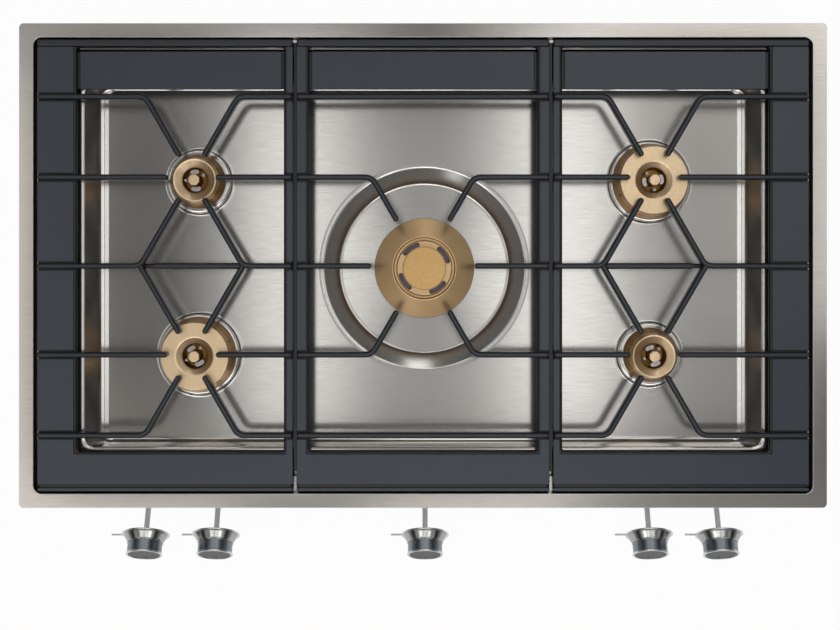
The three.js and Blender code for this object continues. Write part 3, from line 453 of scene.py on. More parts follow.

# How far from its level the inset face of a pan support is still taken, in metres, where it is spared the
# painted shade of the recesses.
INSET_PLAY = 0.0002


class Shades:
    """Nodes of one material or of one shared effect."""

    def __init__(self, tree: bpy.types.NodeTree) -> None:
        """Keeps the tree that the nodes go into."""
        self.tree = tree

    def node(self, kind: str, values: dict[str, float] | None = None, **settings: object) -> bpy.types.Node:
        """Adds a node.

        Args:
            kind: Type of the node.
            values: Numbers for its inputs, by the inputs' names.
            settings: Its own properties.

        Returns:
            The node.
        """
        made = self.tree.nodes.new(kind)
        for key, value in settings.items():
            setattr(made, key, value)
        for label, value in (values or {}).items():
            made.inputs[label].default_value = value
        return made

    def wire(self, source: bpy.types.NodeSocket, target: bpy.types.NodeSocket) -> None:
        """Links two sockets."""
        self.tree.links.new(source, target)

    def feed(self, target: bpy.types.NodeSocket, term: object) -> None:
        """Links a socket to an input, or sets the input where the term is a number or a colour."""
        if isinstance(term, bpy.types.NodeSocket):
            self.wire(term, target)
        else:
            target.default_value = term

    def effect(self, group: bpy.types.NodeTree, values: dict[str, float]) -> bpy.types.NodeOutputs:
        """Places a shared effect with its own values and gives its outputs."""
        return self.node("ShaderNodeGroup", values, node_tree=group).outputs

    def maths(self, operation: str, *terms: object) -> bpy.types.NodeSocket:
        """Adds a Math node.

        Args:
            operation: What it works out.
            terms: Its inputs in order, each a socket or a number.

        Returns:
            Its output.
        """
        node = self.node("ShaderNodeMath", operation=operation)
        for socket, term in zip(node.inputs, terms):
            self.feed(socket, term)
        return node.outputs[0]

    def split(self, vector: bpy.types.NodeSocket) -> tuple[bpy.types.NodeSocket, ...]:
        """Takes a vector apart into its X, Y and Z."""
        node = self.node("ShaderNodeSeparateXYZ")
        self.wire(vector, node.inputs[0])
        return tuple(node.outputs)

    def join(self, *terms: bpy.types.NodeSocket) -> bpy.types.NodeSocket:
        """Puts up to three values together as a vector."""
        node = self.node("ShaderNodeCombineXYZ")
        for socket, term in zip(node.inputs, terms):
            self.wire(term, socket)
        return node.outputs[0]

    def noise(
        self, spot: bpy.types.NodeSocket, scale: object, detail: float, roughness: float
    ) -> bpy.types.NodeSocket:
        """Adds a noise.

        Args:
            spot: Where it is read.
            scale: How fine it is, a socket or a number.
            detail: Number of finer layers in it.
            roughness: Strength of those layers.

        Returns:
            Its value.
        """
        node = self.node("ShaderNodeTexNoise", {"Detail": detail, "Roughness": roughness})
        self.wire(spot, node.inputs["Vector"])
        self.feed(node.inputs["Scale"], scale)
        return node.outputs[0]

    def spread(self, value: bpy.types.NodeSocket, low: float, high: float) -> bpy.types.NodeSocket:
        """Maps a mask from 0 to 1 onto a range."""
        node = self.node("ShaderNodeMapRange", {"To Min": low, "To Max": high})
        self.wire(value, node.inputs["Value"])
        return node.outputs[0]

    def blend(self, mask: bpy.types.NodeSocket, first: object, second: Colour) -> bpy.types.NodeSocket:
        """Mixes two colours.

        Args:
            mask: Share of the second colour.
            first: A colour, or the socket that gives it.
            second: A colour.

        Returns:
            The mixed colour.
        """
        node = self.node("ShaderNodeMix", data_type="RGBA")
        self.wire(mask, node.inputs[0])
        from_socket = isinstance(first, bpy.types.NodeSocket)
        self.feed(node.inputs[MIX_FIRST], first if from_socket else (*first, 1.0))
        self.feed(node.inputs[MIX_SECOND], (*second, 1.0))
        return node.outputs[MIX_RESULT]


def shared_effect(
    name: str, inputs: dict[str, float], build: Callable[[Shades, bpy.types.Node], dict]
) -> bpy.types.NodeTree:
    """Builds a node group whose outputs are masks or heights.

    Args:
        name: Name of the effect.
        inputs: Its inputs and their usual values.
        build: Wires the nodes and gives each output's name and socket.

    Returns:
        The group.
    """
    tree = bpy.data.node_groups.new(name, "ShaderNodeTree")
    for label, value in inputs.items():
        socket = tree.interface.new_socket(label, in_out="INPUT", socket_type="NodeSocketFloat")
        socket.default_value = value
    shades = Shades(tree)
    entry = shades.node("NodeGroupInput")
    results = build(shades, entry)
    leave = shades.node("NodeGroupOutput")
    for label, source in results.items():
        tree.interface.new_socket(label, in_out="OUTPUT", socket_type="NodeSocketFloat")
        shades.wire(source, leave.inputs[label])
    return tree


class Texture(Enum):
    """Marks that a finish can carry, each with the name of its effect's output."""

    BRUSHED = "Strokes"
    TURNED = "Marks"
    SKIN = "Height"


class Effects:
    """Surface effects that several finishes share, among them painted shade on steep sides and in recesses.
    """

    def __init__(self) -> None:
        """Builds each effect once."""
        grain = {"Along": 60.0, "Across": 2600.0}
        painted_shade_inputs = {"Begins": 0.9, "Full": 0.7, "Bite": 0.0, "Bars": 0.0, "Level": -1.0, "Inset": -2.0}
        self.marks = {
            Texture.BRUSHED: shared_effect("brushed_grain", grain, self._grain),
            Texture.TURNED: shared_effect("turning_marks", {"Per metre": 2400.0}, self._rings),
            Texture.SKIN: shared_effect("fine_skin", {"Scale": 1200.0}, self._skin),
        }
        self.cloud = shared_effect("soft_patches", {"Scale": 9.0, "Sharpness": 2.0}, self._cloud)
        # Painted shade on steep sides and, on the pan supports, in the recesses and over the bars.
        self.painted_shade = shared_effect("painted_side_shade", painted_shade_inputs, self._paint_shade)

    @staticmethod
    def place(shades: Shades) -> bpy.types.NodeSocket:
        """The piece's own place on the bench, in metres."""
        return shades.node("ShaderNodeAttribute", attribute_name=BENCH).outputs["Vector"]

    def _grain(self, shades: Shades, entry: bpy.types.Node) -> dict:
        """Long fine strokes along X."""
        along, across = entry.outputs["Along"], entry.outputs["Across"]
        stretched = shades.node("ShaderNodeVectorMath", operation="MULTIPLY")
        shades.wire(self.place(shades), stretched.inputs[0])
        shades.wire(shades.join(along, across, across), stretched.inputs[1])
        return {"Strokes": shades.noise(stretched.outputs[0], 1.0, 3.0, 0.6)}

    def _rings(self, shades: Shades, entry: bpy.types.Node) -> dict:
        """Fine circles about the piece's axis."""
        x, y, z = shades.split(self.place(shades))
        squares = (shades.maths("MULTIPLY", one, one) for one in (x, y))
        radius = shades.maths("SQRT", shades.maths("ADD", *squares))
        scaled = (shades.maths("MULTIPLY", one, entry.outputs["Per metre"]) for one in (radius, z))
        return {"Marks": shades.noise(shades.join(*scaled), 1.0, 2.0, 0.6)}

    def _skin(self, shades: Shades, entry: bpy.types.Node) -> dict:
        """Fine even bumps."""
        return {"Height": shades.noise(self.place(shades), entry.outputs["Scale"], 2.0, 0.5)}

    def _paint_shade(self, shades: Shades, entry: bpy.types.Node) -> dict:
        """Painted shade: a mask over steep sides, over everything below a level except one inset face, and
        over raised bars where asked.
        """
        facing = shades.split(shades.node("ShaderNodeNewGeometry").outputs["Normal"])[2]
        height = shades.split(self.place(shades))[2]
        raised = shades.maths("GREATER_THAN", height, PLATE_TOP)
        # Painted shade over the raised bars, and a bite of it into their shoulders.
        bars = shades.maths("MULTIPLY", raised, entry.outputs["Bars"])
        bite = shades.maths("MULTIPLY", raised, entry.outputs["Bite"])
        steep = shades.node("ShaderNodeMapRange")
        shades.wire(shades.maths("SUBTRACT", shades.maths("ABSOLUTE", facing), bite), steep.inputs["Value"])
        shades.wire(entry.outputs["Begins"], steep.inputs["From Min"])
        shades.wire(entry.outputs["Full"], steep.inputs["From Max"])
        # Painted shade in recesses: everything below the level is darkened, except the inset face.
        low = shades.maths("LESS_THAN", height, entry.outputs["Level"])
        inset = shades.maths("COMPARE", height, entry.outputs["Inset"], INSET_PLAY)
        deep = shades.maths("MULTIPLY", low, shades.maths("SUBTRACT", 1.0, inset))
        return {"Mask": shades.maths("MAXIMUM", shades.maths("MAXIMUM", steep.outputs[0], deep), bars)}

    def _cloud(self, shades: Shades, entry: bpy.types.Node) -> dict:
        """Wide soft patches."""
        patches = shades.noise(self.place(shades), entry.outputs["Scale"], 3.0, 0.5)
        centred = shades.maths("SUBTRACT", patches, 0.5)
        spread = shades.maths("MULTIPLY", centred, entry.outputs["Sharpness"])
        mask = shades.node("ShaderNodeClamp")
        shades.wire(shades.maths("ADD", spread, 0.5), mask.inputs[0])
        return {"Mask": mask.outputs[0]}


@dataclass(frozen=True)
class Finish:
    """A surface: its colours, gloss and marks.

    Roughness runs from the darker to the lighter patches, and bump is a depth in millimetres.
    Painted shade inputs are what the shared painted shade effect is given, where a painted shade colour
    darkens the steep sides.
    """

    name: str
    light: Colour
    dark: Colour
    metallic: float
    roughness: Pair
    texture: Texture
    fineness: dict[str, float]
    bump: float
    patch_scale: float = 9.0
    patch_share: float = 0.5
    specular: float = 0.5
    coat: float = 0.0
    coat_roughness: float = 0.2
    # Colour and inputs of the painted shade on steep sides and in recesses.
    painted_shade: Colour | None = None
    painted_shade_inputs: dict[str, float] = field(default_factory=dict)

    def paint(self, effects: Effects) -> bpy.types.Material:
        """Makes the material.

        Args:
            effects: The shared effects.

        Returns:
            The material.
        """
        material = bpy.data.materials.new(self.name)
        material.use_nodes = True
        shades = Shades(material.node_tree)
        shader = material.node_tree.nodes["Principled BSDF"]
        marking = shades.effect(effects.marks[self.texture], self.fineness)[self.texture.value]
        patches = shades.effect(effects.cloud, {"Scale": self.patch_scale})["Mask"]
        share = shades.maths("MULTIPLY", patches, self.patch_share)
        rest = shades.maths("MULTIPLY", marking, 1.0 - self.patch_share)
        mask = shades.maths("ADD", share, rest)
        colour = shades.blend(mask, self.dark, self.light)
        # Painted shade: steep sides and recesses turn towards the painted shade colour.
        if self.painted_shade:
            colour = shades.blend(shades.effect(effects.painted_shade, self.painted_shade_inputs)["Mask"], colour, self.painted_shade)
        shades.wire(colour, shader.inputs["Base Color"])
        shades.wire(shades.spread(mask, *self.roughness), shader.inputs["Roughness"])
        relief = shades.node("ShaderNodeBump", {"Strength": 1.0, "Distance": self.bump * MM})
        shades.wire(marking, relief.inputs["Height"])
        shades.wire(relief.outputs[0], shader.inputs["Normal"])
        shader.inputs["Metallic"].default_value = self.metallic
        shader.inputs["Specular IOR Level"].default_value = self.specular
        if self.coat:
            shader.inputs["Coat Weight"].default_value = self.coat
            shader.inputs["Coat Roughness"].default_value = self.coat_roughness
        return material


# The brushed grain's fineness, along the strokes and across them, per metre.
GRAIN = {"Along": 40.0, "Across": 2200.0}
FINISHES = {
    "tray": Finish(
        "brushed_steel", light=(0.78, 0.755, 0.72), dark=(0.46, 0.445, 0.425), metallic=1.0,
        roughness=(0.22, 0.16), texture=Texture.BRUSHED, fineness=GRAIN, bump=0.012,
        patch_share=0.12, patch_scale=5.0,
    ),
    "zinc": Finish(
        "zinc_coated_sheet", light=(0.60, 0.61, 0.62), dark=(0.42, 0.43, 0.44), metallic=1.0,
        roughness=(0.55, 0.38), texture=Texture.SKIN, fineness={"Scale": 220.0}, bump=0.02,
        patch_scale=60.0, patch_share=0.7,
    ),
    # The enamel's near-black painted shade darkens the bars' sides and crowns, the gutters and the low
    # places of the pan supports.
    "enamel": Finish(
        "satin_enamel", light=(0.041, 0.053, 0.073), dark=(0.031, 0.041, 0.058), metallic=0.0,
        roughness=(0.40, 0.32), texture=Texture.SKIN, fineness={"Scale": 900.0}, bump=0.05,
        specular=0.6, painted_shade=(0.003, 0.004, 0.007),
        painted_shade_inputs={
            "Begins": 0.86, "Full": 0.72, "Bite": 0.11, "Bars": 0.5, "Level": -0.0008, "Inset": -0.0048,
        },
    ),
    # Painted shade darkens the steep sides of the brass rings, buttons and cocks.
    "brass": Finish(
        "satin_brass", light=(0.97, 0.76, 0.50), dark=(0.80, 0.59, 0.36), metallic=1.0,
        roughness=(0.40, 0.30), texture=Texture.TURNED, fineness={"Per metre": 2600.0}, bump=0.010,
        patch_scale=260.0, patch_share=0.6, painted_shade=(0.34, 0.20, 0.06),
        painted_shade_inputs={"Begins": 0.78, "Full": 0.6},
    ),
    "sintered": Finish(
        "grained_brass", light=(0.84, 0.56, 0.25), dark=(0.58, 0.36, 0.14), metallic=1.0,
        roughness=(0.52, 0.40), texture=Texture.SKIN, fineness={"Scale": 1500.0}, bump=0.10,
        patch_scale=500.0, patch_share=0.4,
    ),
    # Painted shade darkens the steep sides of the turned brass, such as the wall of the ring's opening.
    "wok_brass": Finish(
        "turned_brass", light=(0.80, 0.56, 0.31), dark=(0.64, 0.43, 0.22), metallic=1.0,
        roughness=(0.44, 0.36), texture=Texture.TURNED, fineness={"Per metre": 2600.0}, bump=0.010,
        patch_scale=30.0, patch_share=0.5, painted_shade=(0.28, 0.17, 0.06),
        painted_shade_inputs={"Begins": 0.7, "Full": 0.5},
    ),
    "dark_brass": Finish(
        "heated_brass", light=(0.44, 0.25, 0.075), dark=(0.24, 0.13, 0.035), metallic=1.0,
        roughness=(0.48, 0.34), texture=Texture.TURNED, fineness={"Per metre": 2200.0}, bump=0.012,
        patch_scale=70.0, patch_share=0.6,
    ),
    "ceramic": Finish(
        "white_ceramic", light=(0.72, 0.70, 0.66), dark=(0.60, 0.58, 0.54), metallic=0.0,
        roughness=(0.32, 0.22), texture=Texture.SKIN, fineness={"Scale": 1400.0}, bump=0.01,
        coat=0.4,
    ),
    "probe": Finish(
        "probe_steel", light=(0.62, 0.62, 0.64), dark=(0.42, 0.42, 0.45), metallic=1.0,
        roughness=(0.34, 0.22), texture=Texture.TURNED, fineness={"Per metre": 1800.0}, bump=0.006,
        patch_scale=160.0,
    ),
    "tap": Finish(
        "cast_tap_metal", light=(0.62, 0.63, 0.64), dark=(0.45, 0.46, 0.47), metallic=1.0,
        roughness=(0.55, 0.42), texture=Texture.SKIN, fineness={"Scale": 1100.0}, bump=0.05,
        patch_scale=60.0,
    ),
    "knob": Finish(
        "turned_steel", light=(0.66, 0.68, 0.71), dark=(0.50, 0.52, 0.55), metallic=1.0,
        roughness=(0.30, 0.20), texture=Texture.TURNED, fineness={"Per metre": 3200.0}, bump=0.008,
        patch_scale=40.0, patch_share=0.4,
    ),
    # The cone takes the knob's turned steel painted darker, as painted shade on its sides.
    "cone": Finish(
        "cone_painted_shade_steel", light=(0.42, 0.42, 0.40), dark=(0.32, 0.32, 0.31), metallic=1.0,
        roughness=(0.24, 0.16), texture=Texture.TURNED, fineness={"Per metre": 3200.0}, bump=0.006,
        patch_scale=40.0, patch_share=0.4,
    ),
    "face": Finish(
        "dark_knob_face", light=(0.24, 0.24, 0.245), dark=(0.18, 0.18, 0.185), metallic=0.0,
        roughness=(0.70, 0.60), texture=Texture.TURNED, fineness={"Per metre": 3200.0}, bump=0.008,
        patch_scale=40.0, specular=0.2,
    ),
    # The dark steel under the wok ring's slots is painted shade in the slots.
    "slot_steel": Finish(
        "slot_painted_shade_steel", light=(0.22, 0.19, 0.22), dark=(0.13, 0.11, 0.14), metallic=1.0,
        roughness=(0.50, 0.36), texture=Texture.TURNED, fineness={"Per metre": 1800.0}, bump=0.006,
        patch_scale=120.0,
    ),
    # The grip takes the knob's turned steel painted darker, as painted shade on the grip.
    "grip": Finish(
        "grip_painted_shade_steel", light=(0.24, 0.265, 0.30), dark=(0.17, 0.19, 0.215), metallic=1.0,
        roughness=(0.34, 0.24), texture=Texture.TURNED, fineness={"Per metre": 3200.0}, bump=0.008,
        patch_scale=40.0, patch_share=0.4,
    ),
    "sleeve": Finish(
        "pale_sleeve", light=(0.95, 0.95, 0.95), dark=(0.92, 0.92, 0.92), metallic=0.0,
        roughness=(0.55, 0.45), texture=Texture.SKIN, fineness={"Scale": 900.0}, bump=0.01,
    ),
    "pipe": Finish(
        "bare_tube", light=(0.76, 0.77, 0.78), dark=(0.60, 0.61, 0.62), metallic=1.0,
        roughness=(0.38, 0.26), texture=Texture.SKIN, fineness={"Scale": 500.0}, bump=0.01,
        patch_scale=50.0,
    ),
    "seal": Finish(
        "foam_strip", light=(0.035, 0.035, 0.038), dark=(0.018, 0.018, 0.02), metallic=0.0,
        roughness=(0.95, 0.80), texture=Texture.SKIN, fineness={"Scale": 1600.0}, bump=0.20,
        specular=0.3,
    ),
    "module": Finish(
        "moulded_case", light=(0.035, 0.035, 0.038), dark=(0.022, 0.022, 0.024), metallic=0.0,
        roughness=(0.55, 0.42), texture=Texture.SKIN, fineness={"Scale": 1300.0}, bump=0.05,
    ),
}


# ---------------------------------------------------------------- tray


@dataclass
class Tray:
    """The pressed steel tray and the seal under its rim.

    Collars give each side burner's X, Y and collar radius. Foot bands are the run and the drop of
    the two bands in which a wall of the basin meets the floor. Their runs are shorter at the front
    and at the back, by the two shares.
    """

    wok: Pair
    collars: dict[str, Triple]
    half_length: float = 450.0
    half_depth: float = 270.0
    rim_corner: float = 5.0
    border: float = 16.0
    fold: float = 3.0
    sheet: float = 1.5
    well_corner: float = 9.0
    wall_run: float = 1.0
    ledge_drop: float = 9.0
    ledge: Triple = (19.0, 18.0, 12.0)
    shelf_drop: float = 16.0
    basin: Pair = (50.0, 47.0)
    basin_corner: float = 12.0
    lip: Pair = (2.9, 1.1)
    slope: Pair = (14.3, 6.4)
    slope_back: float = 3.8
    foot_bands: tuple[Pair, Pair] = ((4.2, 1.3), (5.0, 0.6))
    foot_corners: Triple = (13.0, 12.0, 11.0)
    foot_shares: Pair = (0.5, 0.25)
    floor_drop: float = 45.0
    floor_margin: float = 4.0
    under_margin: float = 15.5
    collar_drop: float = 35.0
    collar_hole: float = 21.0
    dish_radius: float = 124.0
    dish_flat: float = 94.0
    dish_drop: float = 57.0
    dish_bed: Pair = (18.0, 0.9)
    wok_hole: float = 32.0
    seal_place: Pair = (3.0, 0.3)
    seal_size: Pair = (9.0, 2.0)

    def station(self, side: float, front: float, back: float, corner: float, height: float) -> Vector:
        """One loop of the pressing, by its distances from the outside of the rim."""
        x, y = self.half_length, self.half_depth
        return Vector((side - x, x - side, front - y, y - back, corner, height))

    def top_face(self) -> list[Vector]:
        """Loops of the upper face, from under the rim's edge to the floor."""
        at = self.station
        well, corner = self.border, self.well_corner
        wall = well + self.wall_run
        side, front, back = (well + inset for inset in self.ledge)
        ledge, shelf, floor = -self.ledge_drop, -self.shelf_drop, -self.floor_drop
        basin_side, basin_end = (well + inset for inset in self.basin)
        lip_in, lip_down = self.lip
        foot_side, foot_end = basin_side + self.slope[0], basin_end + self.slope[1]
        foot_back = basin_end + self.slope_back
        points = [
            at(0.0, 0.0, 0.0, self.rim_corner, -self.fold),
            at(0.0, 0.0, 0.0, self.rim_corner, 0.0),
            at(well, well, well, corner, 0.0),
            at(wall, wall, wall, corner, ledge),
            at(side, front, back, corner, ledge),
            at(side + self.wall_run, front + self.wall_run, back + self.wall_run, corner, shelf),
            at(basin_side, basin_end, basin_end, self.basin_corner, shelf),
            at(
                basin_side + lip_in, basin_end + lip_in, basin_end + lip_in, self.basin_corner,
                shelf - lip_down,
            ),
        ]
        (first, first_drop), (second, second_drop) = self.foot_bands
        whole = first + second
        front_share, back_share = self.foot_shares
        bands = ((0.0, first_drop + second_drop), (first, second_drop), (whole, 0.0))
        for (run, rise), foot_corner in zip(bands, self.foot_corners):
            end, rear = foot_end + run * front_share, foot_back + run * back_share
            points.append(at(foot_side + run, end, rear, foot_corner, floor + rise))
        side_run, end_run = whole + self.floor_margin, whole * front_share + self.floor_margin
        points.append(at(foot_side + side_run, foot_end + end_run, foot_back + end_run, corner, floor))
        return eased(points, [0.9, 1.6, 3.0, 1.6, 1.4, 1.2, 1.6, 1.8, 1.2, 1.4], 5)

    def under_face(self) -> list[Vector]:
        """Loops of the underside, from the floor to the folded edge."""
        at = self.station
        thick, margin = self.sheet, self.under_margin
        well = self.border - thick
        well_corner, foot_corner = self.well_corner + thick, self.foot_corners[0]
        basin_side, basin_end = (self.border + inset for inset in self.basin)
        shelf, floor = -self.shelf_drop - thick, -self.floor_drop - thick
        foot_side, foot_end = basin_side + self.slope[0] - thick, basin_end + self.slope[1] - thick
        foot_back = basin_end + self.slope_back - thick
        side, end = basin_side - thick, basin_end - thick
        points = [
            at(foot_side + margin, foot_end + margin, foot_back + margin, self.well_corner, floor),
            at(foot_side, foot_end, foot_back, foot_corner, floor),
            at(side, end, end, self.basin_corner, shelf),
            at(well, well, well, well_corner, shelf),
            at(well, well, well, well_corner, -self.fold),
            at(0.0, 0.0, 0.0, self.rim_corner, -self.fold),
        ]
        return eased(points, [6.0, 2.0, 2.0, 0.0], 4)

    def collar_profile(self, radius: float) -> list[Vector]:
        """Section of a drawn collar, from the floor's top face round to its underside."""
        floor, top, under = -self.floor_drop, -self.collar_drop, self.sheet
        over = flat_path(
            (radius + 5.0, floor), (radius + 1.8, floor), (radius + 0.2, floor + 1.0),
            (radius - 1.0, top - 0.9), (radius - 3.2, top), (self.collar_hole, top),
            (self.collar_hole, top - under), (radius - 5.0, top - under),
            (radius - 1.4, floor - under), (radius + 5.0, floor - under),
        )
        return eased(over, [1.6, 1.0, 0.8, 1.2, 0.0, 0.0, 0.8, 0.8], 5)

    def dish_profile(self) -> list[Vector]:
        """Section of the round dish, from the floor's top face round to its underside."""
        floor, low, under = -self.floor_drop, -self.dish_drop, self.sheet
        outer, inner, hole = self.dish_radius, self.dish_flat, self.wok_hole
        bed, rise = self.dish_bed
        over = flat_path(
            (outer + 3.0, floor), (outer - 3.6, floor), (outer - 8.0, floor - 0.5),
            (inner + 2.8, low), (inner, low), (hole + bed, low + rise), (hole, low + rise),
            (hole, low - under), (inner + 3.7, low - under), (outer - 7.0, floor - under),
            (outer + 3.0, floor - under),
        )
        return eased(over, [0.8, 1.6, 2.0, 0.0, 1.0, 0.0, 0.0, 3.0, 2.0], 5)

    def build(self, paint: bpy.types.Material) -> None:
        """Presses the tray: both faces, the collars and the dish, and the floor between them."""
        blank = Blank()
        rings = blank.skin(self.top_face(), 10)
        under = blank.skin(self.under_face(), 10)
        turned = [((x, y), self.collar_profile(radius), 96) for x, y, radius in self.collars.values()]
        turned.append((self.wok, self.dish_profile(), 144))
        for at, profile, steps in turned:
            blank.turn(profile, steps, at, closed=False)
        for loop, height in ((rings[-1], -self.floor_drop), (under[0], -self.floor_drop - self.sheet)):
            openings = [blank.circle_edges(at, profile[0].x, height) for at, profile, _ in turned]
            blank.fill([edge for edge in loop if edge.is_valid], *openings)
        blank.leave("steel_tray", Body.HOB.value, Slot.STEEL, ["tray"], paint)

    def seal(self, paint: bpy.types.Material) -> None:
        """Lays the foam strip under the rim."""
        blank = Blank()
        (outer, gap), (width, thick) = self.seal_place, self.seal_size
        inner = outer + width
        high = -self.fold - gap
        low = high - thick
        section = [(outer, low), (outer, high), (inner, high), (inner, low), (outer, low)]
        blank.skin([self.station(side, side, side, self.rim_corner, height) for side, height in section], 6)
        blank.leave("foam_seal", Body.HOB.value, Slot.SEAL, ["worktop_seal"], paint)


# ---------------------------------------------------------------- pan supports


# Where the stations of a bar's round end stand, in half widths past its last corner.
ROUND_END = (0.35, 0.65, 0.87, 0.985)


@dataclass
class Bar:
    """Section and ends of a cast bar."""

    half: float = 3.2
    crown_half: float = 1.35
    draft: float = 0.12
    foot: float = -6.0
    shoulder: float = 3.3
    crown: float = 5.0
    softness: float = 0.7
    bend: float = 8.0
    end_fall: float = 0.13

    def section(self, drop: float = 0.0, narrow: float = 0.0) -> list[Pair]:
        """The bar's section, with soft shoulders.

        Args:
            drop: How much lower than usual the bar is.
            narrow: How much narrower than usual each half is.

        Returns:
            The corners in order.
        """
        half, crown_half = self.half - narrow, self.crown_half - narrow
        crown, shoulder = self.crown - drop, self.shoulder - drop
        points = flat_path(
            (half, self.foot), (half - self.draft, shoulder), (crown_half, crown),
            (-crown_half, crown), (-half + self.draft, shoulder), (-half, self.foot),
        )
        return [(p.x, p.y) for p in eased(points, [self.softness] * 4, 3)]

    def frames(self, path: list[Vector], start: bool, end: bool) -> list[Matrix]:
        """Stations of a bar along its path, with round ends where asked.

        Args:
            path: Points in plan.
            start: Whether the first end is round.
            end: Whether the last end is round.

        Returns:
            The stations.
        """
        points = [Vector((p[0], p[1], 0.0)) for p in path]
        points = eased(points, [self.bend] * (len(points) - 2), 6)
        along = (points[1] - points[0]).normalized()
        back = (points[-2] - points[-1]).normalized()
        if start:
            points[0] = points[0] + along * self.half
        if end:
            points[-1] = points[-1] + back * self.half
        made = stations(points, Vector((0.0, 0.0, 1.0)))
        if start:
            made = [self.cap(made[0], -q) for q in reversed(ROUND_END)] + made
        if end:
            made = made + [self.cap(made[-1], q) for q in ROUND_END]
        return made

    def cap(self, frame_at: Matrix, q: float) -> Matrix:
        """A station of a round end, q half widths beyond the given one."""
        width = math.sqrt(1.0 - q * q)
        height = 1.0 - self.end_fall * (1.0 - width)
        low = Matrix.Translation((0.0, self.foot, self.half * q))
        size = Matrix.Diagonal((width, height, 1.0, 1.0))
        return frame_at @ low @ size @ Matrix.Translation((0.0, -self.foot, 0.0))


